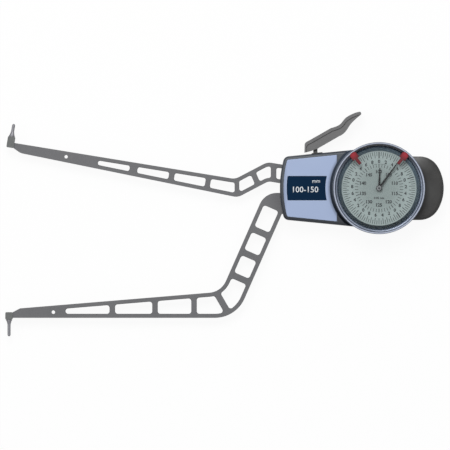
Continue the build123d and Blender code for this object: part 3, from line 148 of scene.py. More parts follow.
def useGroup(tree, group, **values):
    node = tree.nodes.new("ShaderNodeGroup")
    node.node_tree = group
    for label, value in values.items():
        fill(tree, node.inputs[label.replace("_", " ")], value)
    return node.outputs


# Fine grain: a close speckle over slow, wide drifts of tone.
grain, given, made = newGroup(
    "FineGrain",
    (
        ("Place", "NodeSocketVector", None),
        ("Speckle Scale", "NodeSocketFloat", 1800.0),
        ("Drift Scale", "NodeSocketFloat", 30.0),
        ("Speckle Share", "NodeSocketFloat", 0.6),
    ),
    ("Tone", "Height"),
)
speckle = noiseNode(grain, given["Place"], given["Speckle Scale"], 3.0, 0.6)
drift = noiseNode(grain, given["Place"], given["Drift Scale"], 2.0, 0.5)
speckleWide = rangeNode(grain, speckle, 0.3, 0.7, 0.0, 1.0)
driftWide = rangeNode(grain, drift, 0.3, 0.7, 0.0, 1.0)
speckled = mathNode(grain, "MULTIPLY", speckleWide, given["Speckle Share"])
rest = mathNode(grain, "SUBTRACT", 1.0, given["Speckle Share"])
drifted = mathNode(grain, "MULTIPLY", driftWide, rest)
grain.links.new(mathNode(grain, "ADD", speckled, drifted), made["Tone"])
grain.links.new(speckleWide, made["Height"])

# Turned rings: fine grooves round the dial's axis.
rings, given, made = newGroup(
    "TurnedRings",
    (
        ("Place", "NodeSocketVector", None),
        ("Ring Scale", "NodeSocketFloat", 9000.0),
    ),
    ("Tone",),
)
ringNoise = rings.nodes.new("ShaderNodeTexNoise")
ringNoise.noise_dimensions = "1D"
ringNoise.inputs["Detail"].default_value = 2.0
rings.links.new(reachFromAxis(rings, given["Place"]), ringNoise.inputs["W"])
rings.links.new(given["Ring Scale"], ringNoise.inputs["Scale"])
rings.links.new(rangeNode(rings, ringNoise.outputs["Fac"], 0.3, 0.7, 0.0, 1.0), made["Tone"])

# Brushed lines: long thin scratches along one direction.
brush, given, made = newGroup(
    "BrushedLines",
    (
        ("Place", "NodeSocketVector", None),
        ("Stretch", "NodeSocketVector", (60.0, 3000.0, 3000.0)),
    ),
    ("Tone",),
)
stretched = vectorNode(brush, "MULTIPLY", given["Place"], given["Stretch"])
scratches = noiseNode(brush, stretched, 1.0, 3.0, 0.55)
brush.links.new(rangeNode(brush, scratches, 0.3, 0.7, 0.0, 1.0), made["Tone"])

# Edge wear and painted edge light: where a rounded normal leaves the real one, the edge takes another tone.
# Pale edges on steel, brass, the shank, the label and the dark bezel ring are wear. Paler edges on the
# bezel, the face plate and the rubber are painted highlight and sheen. Darker edges on the case, arms,
# heads, pins and lever are painted shade.
wearAndPaintedEdgeLight, given, made = newGroup(
    "EdgeWearAndPaintedLight",
    (
        ("Place", "NodeSocketVector", None),
        ("Width", "NodeSocketFloat", 0.0003),
        ("Amount", "NodeSocketFloat", 0.6),
    ),
    ("Share",),
)
rounded = wearAndPaintedEdgeLight.nodes.new("ShaderNodeBevel")
rounded.samples = 4
wearAndPaintedEdgeLight.links.new(given["Width"], rounded.inputs["Radius"])
plain = wearAndPaintedEdgeLight.nodes.new("ShaderNodeNewGeometry")
agreement = vectorNode(wearAndPaintedEdgeLight, "DOT_PRODUCT", rounded.outputs["Normal"], plain.outputs["Normal"])
atEdge = rangeNode(wearAndPaintedEdgeLight, agreement, 0.98, 0.78, 0.0, 1.0)
patchy = rangeNode(wearAndPaintedEdgeLight, noiseNode(wearAndPaintedEdgeLight, given["Place"], 260.0, 3.0, 0.6), 0.25, 0.6, 0.35, 1.0)
patchyEdge = mathNode(wearAndPaintedEdgeLight, "MULTIPLY", atEdge, patchy, clamp=True)
wearAndPaintedEdgeLight.links.new(mathNode(wearAndPaintedEdgeLight, "MULTIPLY", patchyEdge, given["Amount"]), made["Share"])

# Dust: a thin pale film that gathers on faces that look up.
dust, given, made = newGroup(
    "DustFilm",
    (("Place", "NodeSocketVector", None), ("Amount", "NodeSocketFloat", 0.05)),
    ("Share",),
)
facing = dust.nodes.new("ShaderNodeNewGeometry")
upward = rangeNode(dust, splitAxes(dust, facing.outputs["Normal"])["Z"], 0.3, 1.0, 0.0, 1.0)
cloud = rangeNode(dust, noiseNode(dust, given["Place"], 55.0, 4.0, 0.65), 0.35, 0.7, 0.2, 1.0)
lying = mathNode(dust, "MULTIPLY", upward, cloud)
dust.links.new(mathNode(dust, "MULTIPLY", lying, given["Amount"]), made["Share"])

# Round band: full between two distances from the dial's axis, soft at both edges.
band, given, made = newGroup(
    "RoundBand",
    (
        ("Place", "NodeSocketVector", None),
        ("Inner", "NodeSocketFloat", 0.01),
        ("Outer", "NodeSocketFloat", 0.02),
        ("Soft", "NodeSocketFloat", 0.0002),
    ),
    ("Share",),
)
fromAxis = reachFromAxis(band, given["Place"])
pastInner = mathNode(band, "SUBTRACT", fromAxis, given["Inner"])
shortOfOuter = mathNode(band, "SUBTRACT", given["Outer"], fromAxis)
nearest = mathNode(band, "MINIMUM", pastInner, shortOfOuter)
band.links.new(mathNode(band, "DIVIDE", nearest, given["Soft"], clamp=True), made["Share"])

# Soft spot: nothing as near as Inner to a point, full from Outer on, and the same at its mirror point
# left of the dial. With Inner beyond Outer it is full at the point instead.
spot, given, made = newGroup(
    "SoftSpot",
    (
        ("Place", "NodeSocketVector", None),
        ("Centre", "NodeSocketVector", (0.0, 0.0, 0.0)),
        ("Inner", "NodeSocketFloat", 0.001),
        ("Outer", "NodeSocketFloat", 0.003),
        ("Amount", "NodeSocketFloat", 1.0),
    ),
    ("Share",),
)
spotAxes = splitAxes(spot, given["Place"])
mirrored = spot.nodes.new("ShaderNodeCombineXYZ")
spot.links.new(mathNode(spot, "ABSOLUTE", spotAxes["X"]), mirrored.inputs["X"])
spot.links.new(spotAxes["Y"], mirrored.inputs["Y"])
fromCentre = vectorNode(spot, "SUBTRACT", mirrored.outputs[0], given["Centre"])
spotReach = reachFromAxis(spot, fromCentre)
outside = rangeNode(spot, spotReach, given["Inner"], given["Outer"], 0.0, 1.0)
spot.links.new(mathNode(spot, "MULTIPLY", outside, given["Amount"]), made["Share"])

# Side shade: full on faces that look sideways, nothing on those that look up or down.
flank, given, made = newGroup("SideShade", (("Amount", "NodeSocketFloat", 0.5),), ("Share",))
looking = flank.nodes.new("ShaderNodeNewGeometry")
upright = mathNode(flank, "ABSOLUTE", splitAxes(flank, looking.outputs["Normal"])["Z"])
sideways = rangeNode(flank, upright, 0.93, 0.55, 0.0, 1.0)
flank.links.new(mathNode(flank, "MULTIPLY", sideways, given["Amount"], clamp=True), made["Share"])

# Values that the finishes share. Upper is where along Y a band goes over to its second tone, a painted
# shadow on the band's upper part.
shared = dict(dust=(0.62, 0.6, 0.57), wearAndPaintedEdgeLightWidth=0.0003, upper=(0.01, 0.025), shine=0.5, bumpDepth=0.00002)


def addTexture(tree, place, look):
    if look["texture"] == "rings":
        return useGroup(tree, rings, Place=place, Ring_Scale=look["scale"])
    if look["texture"] == "brush":
        return useGroup(tree, brush, Place=place, Stretch=look["stretch"])
    return useGroup(tree, grain, Place=place, Speckle_Scale=look["scale"], Speckle_Share=look["share"])


def addStainsAndPaintedLight(tree, place, look, colour):
    # Edge wear and painted edge light, painted side shade, bands, spots, a painted shade on the lower part
    # along Y and dust, one over the other. Several bands and spots are painted shade, shadow, highlight and
    # sheen.
    if look.get("wearAndPaintedEdgeLight"):
        width = look.get("wearAndPaintedEdgeLightWidth", shared["wearAndPaintedEdgeLightWidth"])
        wornAndPaintedEdge = useGroup(tree, wearAndPaintedEdgeLight, Place=place, Width=width, Amount=look["wearAndPaintedEdgeLight"])
        colour = mixColours(tree, wornAndPaintedEdge["Share"], colour, dye(look["wornAndPaintedEdge"]))
    if look.get("sides"):
        turned = useGroup(tree, flank, Amount=look["sides"])
        colour = mixColours(tree, turned["Share"], colour, dye(look["sideTone"]))
    for inner, outer, softness, toneAndPaintedLight, *upper in look.get("bands", ()):
        ringed = useGroup(tree, band, Place=place, Inner=inner, Outer=outer, Soft=softness)
        shade = dye(toneAndPaintedLight)
        # A band's second tone is a painted shadow on its upper part.
        if upper:
            raised = rangeNode(tree, splitAxes(tree, place)["Y"], *shared["upper"], 0.0, 1.0)
            shade = mixColours(tree, raised, dye(toneAndPaintedLight), dye(upper[0]))
        colour = mixColours(tree, ringed["Share"], colour, shade)
    for centre, inner, outer, amount, toneAndPaintedLight in look.get("spots", ()):
        spotted = useGroup(tree, spot, Place=place, Centre=centre, Inner=inner, Outer=outer, Amount=amount)
        colour = mixColours(tree, spotted["Share"], colour, dye(toneAndPaintedLight))
    # Darker towards the bottom along Y: a painted shade.
    if look.get("paintedShadeBelow"):
        shadedBelow = rangeNode(tree, splitAxes(tree, place)["Y"], *look["paintedShadeBelow"], 0.0, look["paintedShadeBelowShare"])
        colour = mixColours(tree, shadedBelow, colour, dye(look["paintedShadeBelowTone"]))
    if look.get("dust"):
        film = useGroup(tree, dust, Place=place, Amount=look["dust"])
        colour = mixColours(tree, film["Share"], colour, dye(shared["dust"]))
    return colour


def newMaterial(name):
    material = bpy.data.materials.new(name)
    material.use_nodes = True
    tree = material.node_tree
    place = tree.nodes.new("ShaderNodeTexCoord").outputs["Object"]
    return material, tree, tree.nodes["Principled BSDF"], place


def makeFinish(name, look):
    # One finish from its look: two tones of a texture under its stains and painted light and shade, with
    # roughness and bump.
    material, tree, shader, place = newMaterial(name)
    texture = addTexture(tree, place, look)
    tone = texture["Tone"]
    colour = mixColours(tree, tone, dye(look["dark"]), dye(look["light"]))
    tree.links.new(addStainsAndPaintedLight(tree, place, look, colour), shader.inputs["Base Color"])
    shader.inputs["Metallic"].default_value = look["metal"]
    shader.inputs["Specular IOR Level"].default_value = look.get("shine", shared["shine"])
    tree.links.new(rangeNode(tree, tone, 0.0, 1.0, *look["rough"]), shader.inputs["Roughness"])
    bump = tree.nodes.new("ShaderNodeBump")
    bump.inputs["Strength"].default_value = look["bump"]
    bump.inputs["Distance"].default_value = shared["bumpDepth"]
    height = texture["Height"] if look["texture"] == "grain" else tone
    tree.links.new(height, bump.inputs["Height"])
    tree.links.new(bump.outputs["Normal"], shader.inputs["Normal"])
    return material


# Looks, in metres and linear tones. Scale is the speckle's or the grooves', share is how much of the
# tone is speckle, and shine is the bare surface's. A band is its inner and outer distance from the
# dial's axis, its softness, its tone and, if it has one, a painted shadow for its upper part. A spot is
# its centre, two distances from it, its amount and its tone. Many band and spot tones are painted light
# and shade. A piece may also go darker along Y between two given values, a painted shade on its lower part.
looks = {
    # Case slate: its darker edges are painted shade, its darker sides painted side shade, and its darker
    # lower part along Y painted shade.
    "case_slate": dict(
        texture="grain", scale=2600.0, share=0.5, dark=(0.042, 0.051, 0.062), light=(0.069, 0.079, 0.092),
        metal=0.1, rough=(0.38, 0.5), bump=0.12, shine=0.35,
        wearAndPaintedEdgeLight=0.6, wearAndPaintedEdgeLightWidth=0.0006, wornAndPaintedEdge=(0.012, 0.015, 0.022), dust=0.01,
        sides=0.85, sideTone=(0.022, 0.028, 0.04),
        paintedShadeBelow=(0.018, -0.02), paintedShadeBelowTone=(0.009, 0.012, 0.019), paintedShadeBelowShare=0.95,
    ),
    # Arm grey: its darker edges are painted shade.
    "arm_grey": dict(
        texture="grain", scale=2200.0, share=0.75, dark=(0.098, 0.1, 0.107), light=(0.154, 0.154, 0.161),
        metal=0.0, rough=(0.45, 0.6), bump=0.25, shine=0.3,
        wearAndPaintedEdgeLight=0.6, wearAndPaintedEdgeLightWidth=0.0004, wornAndPaintedEdge=(0.05, 0.05, 0.053), dust=0.02,
    ),
    # Head grey: its darker edges are painted shade.
    "head_grey": dict(
        texture="grain", scale=1500.0, share=0.6, dark=(0.095, 0.1, 0.099), light=(0.14, 0.146, 0.143),
        metal=0.1, rough=(0.4, 0.52), bump=0.2, shine=0.3,
        wearAndPaintedEdgeLight=0.5, wearAndPaintedEdgeLightWidth=0.0004, wornAndPaintedEdge=(0.05, 0.053, 0.05), dust=0.02,
    ),
    "bright_steel": dict(
        texture="brush", stretch=(2500.0, 120.0, 2500.0), dark=(0.42, 0.43, 0.45), light=(0.6, 0.61, 0.63),
        metal=1.0, rough=(0.2, 0.32), bump=0.05, dust=0.02,
    ),
    "steel": dict(
        texture="grain", scale=1800.0, share=0.6, dark=(0.38, 0.385, 0.39), light=(0.52, 0.52, 0.525),
        metal=1.0, rough=(0.28, 0.42), bump=0.1, wearAndPaintedEdgeLight=0.3, wornAndPaintedEdge=(0.7, 0.7, 0.7), dust=0.03,
    ),
    "brass": dict(
        texture="rings", scale=6000.0, dark=(0.5, 0.36, 0.13), light=(0.66, 0.5, 0.2),
        metal=1.0, rough=(0.25, 0.4), bump=0.08, wearAndPaintedEdgeLight=0.3, wornAndPaintedEdge=(0.85, 0.7, 0.38),
    ),
    "bronze": dict(
        texture="grain", scale=2600.0, share=0.7, dark=(0.34, 0.2, 0.1), light=(0.46, 0.29, 0.15),
        metal=1.0, rough=(0.38, 0.55), bump=0.15,
    ),
    # Bezel blue: its paler edges are a painted highlight.
    "bezel_blue": dict(
        texture="rings", scale=7000.0, dark=(0.25, 0.28, 0.38), light=(0.33, 0.365, 0.46),
        metal=0.4, rough=(0.24, 0.34), bump=0.05, wearAndPaintedEdgeLight=0.6, wornAndPaintedEdge=(0.7, 0.72, 0.78), dust=0.02,
        bands=(
            # Bands: the retainer's own darker tone, with a painted shadow on its upper part; dark painted
            # shade in the gap between retainer and lip, with the same painted shadow on top; a pale painted
            # highlight on the outer ring's edge; dark painted shade round the outer rim.
            (0.0295, 0.03108, 0.0001, (0.2, 0.235, 0.31), (0.004, 0.006, 0.01)),
            (0.0304, 0.03135, 0.0001, (0.02, 0.03, 0.048), (0.004, 0.006, 0.01)),
            (0.03155, 0.03205, 0.00012, (0.42, 0.46, 0.55)),
            (0.0321, 0.0326, 0.0001, (0.1, 0.12, 0.16)),
        ),
    ),
    # Bezel dark: paler at the top and darker towards the bottom along Y, a painted shade.
    "bezel_dark": dict(
        texture="rings", scale=5000.0, dark=(0.08, 0.119, 0.154), light=(0.11, 0.158, 0.207),
        metal=0.1, rough=(0.32, 0.42), bump=0.05, wearAndPaintedEdgeLight=0.2, wornAndPaintedEdge=(0.2, 0.22, 0.25),
        paintedShadeBelow=(0.014, -0.025), paintedShadeBelowTone=(0.004, 0.008, 0.012), paintedShadeBelowShare=0.95,
    ),
    "hand_black": dict(
        texture="grain", scale=3000.0, share=0.5, dark=(0.002, 0.003, 0.004), light=(0.006, 0.007, 0.008),
        metal=0.0, rough=(0.5, 0.62), bump=0.05, shine=0.25,
    ),
    # Marker red: the dark ring round the middle of each head and the darker sides are painted shade, which
    # gives the heads a domed look.
    "marker_red": dict(
        texture="grain", scale=1600.0, share=0.4, dark=(0.25, 0.007, 0.014), light=(0.35, 0.016, 0.032),
        metal=0.0, rough=(0.25, 0.36), bump=0.04, shine=0.3, dust=0.005,
        spots=(((0.0186, 0.0238, 0.0), 0.0008, 0.0034, 0.75, (0.07, 0.006, 0.01)),),
        sides=0.8, sideTone=(0.07, 0.004, 0.006),
    ),
    # Rubber black: its paler rounded edges are a painted sheen.
    "rubber_black": dict(
        texture="grain", scale=1500.0, share=0.7, dark=(0.025, 0.025, 0.0255), light=(0.048, 0.0475, 0.047),
        metal=0.0, rough=(0.62, 0.78), bump=0.5, shine=0.2,
        wearAndPaintedEdgeLight=0.5, wearAndPaintedEdgeLightWidth=0.0016, wornAndPaintedEdge=(0.14, 0.14, 0.138), dust=0.03,
    ),
    # Lever grey: its darker edges are painted shade.
    "lever_grey": dict(
        texture="grain", scale=2400.0, share=0.8, dark=(0.098, 0.098, 0.102), light=(0.16, 0.159, 0.161),
        metal=0.0, rough=(0.45, 0.58), bump=0.3, shine=0.3,
        wearAndPaintedEdgeLight=0.6, wearAndPaintedEdgeLightWidth=0.0005, wornAndPaintedEdge=(0.04, 0.04, 0.042), dust=0.02,
    ),
    "shank_dark": dict(
        texture="grain", scale=1800.0, share=0.6, dark=(0.035, 0.036, 0.037), light=(0.06, 0.061, 0.062),
        metal=0.4, rough=(0.35, 0.5), bump=0.15, wearAndPaintedEdgeLight=0.3, wornAndPaintedEdge=(0.2, 0.2, 0.2),
    ),
    "label_navy": dict(
        texture="grain", scale=2600.0, share=0.4, dark=(0.0006, 0.012, 0.036), light=(0.001, 0.018, 0.05),
        metal=0.0, rough=(0.4, 0.5), bump=0.05, shine=0.05, wearAndPaintedEdgeLight=0.3, wornAndPaintedEdge=(0.02, 0.06, 0.12),
    ),
    "dial_green_grey": dict(
        texture="rings", scale=2500.0, dark=(0.24, 0.291, 0.288), light=(0.278, 0.327, 0.321),
        metal=0.0, rough=(0.5, 0.6), bump=0.03, shine=0.1,
        bands=((0.011, 0.06, 0.009, (0.325, 0.388, 0.385)),),
    ),
    # Gasket black: its band is a paler ring of painted light, with a painted shadow on its upper part.
    "gasket_black": dict(
        texture="grain", scale=2600.0, share=0.5, dark=(0.012, 0.022, 0.034), light=(0.018, 0.03, 0.046),
        metal=0.0, rough=(0.55, 0.7), bump=0.1, shine=0.1,
        bands=((0.0293, 0.0305, 0.0005, (0.17, 0.2, 0.26), (0.004, 0.007, 0.012)),),
    ),
    # Pin grey: its darker edges are painted shade.
    "pin_grey": dict(
        texture="grain", scale=2600.0, share=0.6, dark=(0.15, 0.15, 0.165), light=(0.23, 0.228, 0.245),
        metal=0.55, rough=(0.36, 0.46), bump=0.1, wearAndPaintedEdgeLight=0.3, wearAndPaintedEdgeLightWidth=0.0002, wornAndPaintedEdge=(0.06, 0.06, 0.064),
    ),
    "cap_grey": dict(
        texture="rings", scale=9000.0, dark=(0.12, 0.13, 0.135), light=(0.19, 0.2, 0.205),
        metal=0.15, rough=(0.4, 0.5), bump=0.05, shine=0.3,
        bands=(
            (0.0, 0.00065, 0.00008, (0.01, 0.011, 0.013)),
            (0.00165, 0.003, 0.0001, (0.02, 0.022, 0.026)),
        ),
    ),
    "blued_steel": dict(
        texture="grain", scale=2600.0, share=0.6, dark=(0.012, 0.014, 0.02), light=(0.024, 0.027, 0.036),
        metal=0.6, rough=(0.3, 0.42), bump=0.08,
    ),
    "dial_ink": dict(
        texture="grain", scale=3500.0, share=0.5, dark=(0.006, 0.009, 0.011), light=(0.018, 0.022, 0.025),
        metal=0.0, rough=(0.45, 0.6), bump=0.05,
    ),
    "label_ink": dict(
        texture="grain", scale=3500.0, share=0.5, dark=(0.62, 0.66, 0.7), light=(0.78, 0.8, 0.82),
        metal=0.0, rough=(0.4, 0.55), bump=0.05,
    ),
}
# Front cover: the case's tone, with painted light in the gap round the bezel, which lifts the bezel's
# shadow there.
looks["case_front"] = dict(looks["case_slate"], bands=((0.0326, 0.0347, 0.0003, (0.16, 0.2, 0.26)),))
# Rubber cap: painted sheen on its upper shoulder and a little across its middle, paler patches that stand
# for light on the rounded cap.
looks["cap_rubber_painted_sheen"] = dict(
    looks["rubber_black"],
    spots=(
        ((0.0262, 0.0212, 0.0), 0.0098, 0.0018, 0.95, (0.17, 0.17, 0.168)),
        ((0.0335, 0.0155, 0.0), 0.0055, 0.001, 0.5, (0.09, 0.09, 0.089)),
        ((0.035, -0.003, 0.0), 0.0095, 0.004, 0.75, (0.058, 0.058, 0.057)),
    ),
)
finishes = {name: makeFinish(name + "_finish", look) for name, look in looks.items()}

# Face plate: its anodised blue darkens towards the left end, the right end and the dial's recess, a painted
# shade, and its paler edges are a painted highlight.
plateLook = dict(
    speckle=3200.0, drift=22.0, share=0.45, deep=(0.314, 0.391, 0.575), pale=(0.36, 0.437, 0.62),
    leftEdge=-0.0689, leftFade=0.004, dialRim=0.034, dialFade=0.0027, nearDial=0.15,
    rightEdge=-0.0292, rightFade=0.0013, nearRight=0.3, shade=(0.05, 0.062, 0.09),
    metal=0.05, rough=(0.3, 0.42), shine=0.3,
    wearAndPaintedEdgeLight=0.6, wearAndPaintedEdgeLightWidth=0.00035, wornAndPaintedEdge=(0.72, 0.76, 0.85), dust=0.02,
)
plateFinish, tree, shader, place = newMaterial("face_blue_finish")
texture = useGroup(
    tree, grain, Place=place, Speckle_Scale=plateLook["speckle"],
    Drift_Scale=plateLook["drift"], Speckle_Share=plateLook["share"],
)
along = splitAxes(tree, place)["X"]
leftInner = plateLook["leftEdge"] + plateLook["leftFade"]
dialOuter = plateLook["dialRim"] + plateLook["dialFade"]
rightInner = plateLook["rightEdge"] - plateLook["rightFade"]
fromLeft = rangeNode(tree, along, plateLook["leftEdge"], leftInner, 0.0, 1.0)
reach = reachFromAxis(tree, place)
fromDial = rangeNode(tree, reach, plateLook["dialRim"], dialOuter, plateLook["nearDial"], 1.0)
fromRight = rangeNode(tree, along, plateLook["rightEdge"], rightInner, plateLook["nearRight"], 1.0)
lit = mathNode(tree, "MULTIPLY", mathNode(tree, "POWER", fromLeft, 0.5), fromDial, clamp=True)
lit = mathNode(tree, "MULTIPLY", lit, fromRight, clamp=True)
blue = mixColours(tree, texture["Tone"], dye(plateLook["deep"]), dye(plateLook["pale"]))
blue = mixColours(tree, lit, dye(plateLook["shade"]), blue)
tree.links.new(addStainsAndPaintedLight(tree, place, plateLook, blue), shader.inputs["Base Color"])
shader.inputs["Metallic"].default_value = plateLook["metal"]
shader.inputs["Specular IOR Level"].default_value = plateLook["shine"]
tree.links.new(rangeNode(tree, texture["Tone"], 0.0, 1.0, *plateLook["rough"]), shader.inputs["Roughness"])
finishes["face_blue"] = plateFinish

# Crystal: clear acrylic, faintly smudged, that lets the lamps through to the dial.
glassLook = dict(
    tint=(0.985, 0.995, 0.99), index=1.17,
    speckle=400.0, drift=35.0, share=0.3, smudgedFrom=0.45, rough=(0.0, 0.004),
)
crystalFinish, tree, shader, place = newMaterial("crystal_finish")
shader.inputs["Base Color"].default_value = dye(glassLook["tint"])
shader.inputs["Transmission Weight"].default_value = 1.0
shader.inputs["IOR"].default_value = glassLook["index"]
smudges = useGroup(
    tree, grain, Place=place, Speckle_Scale=glassLook["speckle"],
    Drift_Scale=glassLook["drift"], Speckle_Share=glassLook["share"],
)
smudged = rangeNode(tree, smudges["Tone"], glassLook["smudgedFrom"], 1.0, *glassLook["rough"])
tree.links.new(smudged, shader.inputs["Roughness"])
clear = tree.nodes.new("ShaderNodeBsdfTransparent")
rays = tree.nodes.new("ShaderNodeLightPath").outputs
either = tree.nodes.new("ShaderNodeMixShader")
straight = mathNode(tree, "MAXIMUM", rays["Is Shadow Ray"], rays["Is Diffuse Ray"])
straight = mathNode(tree, "MAXIMUM", straight, rays["Is Glossy Ray"])
tree.links.new(straight, either.inputs["Fac"])
tree.links.new(shader.outputs["BSDF"], either.inputs[1])
tree.links.new(clear.outputs["BSDF"], either.inputs[2])
tree.links.new(either.outputs["Shader"], tree.nodes["Material Output"].inputs["Surface"])
finishes["crystal_clear"] = crystalFinish
print("stage: finishes made,", len(finishes))

# Each CAD node takes the finish of its slot, or one of its own.
ownFinish = {
    "front_cover": "case_front",
    "grip_cap": "cap_rubber_painted_sheen",
    "crystal_gasket": "gasket_black",
    "contact_pin_upper": "pin_grey",
    "contact_pin_lower": "pin_grey",
    "contact_ball_upper": "pin_grey",
    "contact_ball_lower": "pin_grey",
    "head_rivet_upper": "head_grey",
    "head_rivet_lower": "head_grey",
    "hand_cap": "cap_grey",
    "centre_arbor": "blued_steel",
}
for node in nodes.values():
    for index, bare in enumerate(node.data.materials):
        slotName = bare.name.split(".")[0]
        node.data.materials[index] = finishes[ownFinish.get(node.name, slotName)]
print("stage: finishes given to the CAD nodes")


def addPiece(name, shape, material):
    # A new object at the origin from a bmesh, which it uses up.
    mesh = bpy.data.meshes.new(name)
    shape.to_mesh(mesh)
    shape.free()
    mesh.materials.append(material)
    piece = bpy.data.objects.new(name, mesh)
    scene.collection.objects.link(piece)
    return piece


def turnedRing(name, profile, material, steps=240):
    # A closed ring round the dial's axis from a profile of distances and heights.
    shape = bmesh.new()
    rounds = []
    for away, height in profile:
        corners = []
        for step in range(steps):
            angle = 2 * math.pi * step / steps
            corners.append(shape.verts.new((away * math.cos(angle), away * math.sin(angle), height)))
        rounds.append(corners)
    for index, current in enumerate(rounds):
        upcoming = rounds[(index + 1) % len(rounds)]
        for step in range(steps):
            beside = (step + 1) % steps
            shape.faces.new((current[step], current[beside], upcoming[beside], upcoming[step]))
    bmesh.ops.recalc_face_normals(shape, faces=shape.faces)
    return addPiece(name, shape, material)


# Gasket, a hair lower than the crystal's glass, and retaining ring with a sloping inner edge. Drop and
# dip are how far the top lies below the CAD node's at the outside and at the inside.
ringLooks = {
    "gasketRing": dict(
        node="crystal_gasket", slot="rubber_black", finish="gasket_black", drop=0.00003, dip=0.00003
    ),
    "slopingRetainer": dict(
        node="crystal_retainer", slot="bezel_blue", finish="bezel_blue", drop=0.0, dip=0.00035
    ),
}
for name, look in ringLooks.items():
    ringLow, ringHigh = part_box(look["node"])
    reaches = [math.hypot(corner.co.x, corner.co.y) for corner in nodes[look["node"]].data.vertices]
    profile = (
        (min(reaches), ringLow.z),
        (max(reaches), ringLow.z),
        (max(reaches), ringHigh.z - look["drop"]),
        (min(reaches), ringHigh.z - look["dip"]),
    )
    piece = turnedRing(name, profile, finishes[look["finish"]])
    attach(piece, "bezel")
    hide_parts(look["node"])
print("stage: rings of the crystal drawn")


# Dial print: thin raised ink on the dial, turning with the bezel.

def tickTree():
    # A ring of equal bars round the dial's axis, the first one turned by Start.
    tree = bpy.data.node_groups.new("TickRing", "GeometryNodeTree")
    wanted = (
        ("Geometry", "NodeSocketGeometry"),
        ("Count", "NodeSocketInt"),
        ("Radius", "NodeSocketFloat"),
        ("Bar", "NodeSocketVector"),
        ("Lift", "NodeSocketFloat"),
        ("Start", "NodeSocketFloat"),
        ("Ink", "NodeSocketMaterial"),
    )
    for label, kind in wanted:
        tree.interface.new_socket(label, in_out="INPUT", socket_type=kind)
    tree.interface.new_socket("Geometry", in_out="OUTPUT", socket_type="NodeSocketGeometry")
    start = tree.nodes.new("NodeGroupInput")
    end = tree.nodes.new("NodeGroupOutput")
    circle = tree.nodes.new("GeometryNodeMeshCircle")
    tree.links.new(start.outputs["Count"], circle.inputs["Vertices"])
    tree.links.new(start.outputs["Radius"], circle.inputs["Radius"])
    bar = tree.nodes.new("GeometryNodeMeshCube")
    tree.links.new(start.outputs["Bar"], bar.inputs["Size"])
    index = tree.nodes.new("GeometryNodeInputIndex")
    step = mathNode(tree, "DIVIDE", 2 * math.pi, start.outputs["Count"])
    turn = mathNode(tree, "MULTIPLY", index.outputs[0], step)
    spin = tree.nodes.new("ShaderNodeCombineXYZ")
    tree.links.new(turn, spin.inputs["Z"])
    spread = tree.nodes.new("GeometryNodeInstanceOnPoints")
    tree.links.new(circle.outputs["Mesh"], spread.inputs["Points"])
    tree.links.new(bar.outputs["Mesh"], spread.inputs["Instance"])
    tree.links.new(spin.outputs[0], spread.inputs["Rotation"])
    whole = tree.nodes.new("GeometryNodeTransform")
    lift = tree.nodes.new("ShaderNodeCombineXYZ")
    tree.links.new(start.outputs["Lift"], lift.inputs["Z"])
    offset = tree.nodes.new("ShaderNodeCombineXYZ")
    tree.links.new(start.outputs["Start"], offset.inputs["Z"])
    tree.links.new(spread.outputs["Instances"], whole.inputs["Geometry"])
    tree.links.new(lift.outputs[0], whole.inputs["Translation"])
    tree.links.new(offset.outputs[0], whole.inputs["Rotation"])
    real = tree.nodes.new("GeometryNodeRealizeInstances")
    tree.links.new(whole.outputs["Geometry"], real.inputs["Geometry"])
    paint = tree.nodes.new("GeometryNodeSetMaterial")
    tree.links.new(real.outputs["Geometry"], paint.inputs["Geometry"])
    tree.links.new(start.outputs["Ink"], paint.inputs["Material"])
    tree.links.new(paint.outputs["Geometry"], end.inputs["Geometry"])
    return tree


ticksTree = tickTree()
inputs = [item for item in ticksTree.interface.items_tree if item.in_out == "INPUT"]
socketIds = {item.name: item.identifier for item in inputs}


def makeTicks(name, look, lift):
    # One scale's ticks as a plain mesh, standing on the dial.
    holder = bpy.data.objects.new(name + "Holder", bpy.data.meshes.new(name + "Holder"))
    scene.collection.objects.link(holder)
    modifier = holder.modifiers.new("Ticks", "NODES")
    modifier.node_group = ticksTree
    modifier[socketIds["Count"]] = look["count"]
    modifier[socketIds["Radius"]] = (look["inner"] + look["outer"]) / 2 * mm
    length = look["outer"] - look["inner"]
    modifier[socketIds["Bar"]] = (length * mm, look["width"] * mm, look["thick"] * mm)
    modifier[socketIds["Lift"]] = lift + look["thick"] / 2 * mm
    modifier[socketIds["Start"]] = math.pi / 2
    modifier[socketIds["Ink"]] = finishes["dial_ink"]
    bpy.context.view_layer.update()
    depsgraph = bpy.context.evaluated_depsgraph_get()
    mesh = bpy.data.meshes.new_from_object(holder.evaluated_get(depsgraph))
    bpy.data.objects.remove(holder)
    piece = bpy.data.objects.new(name, mesh)
    scene.collection.objects.link(piece)
    return piece


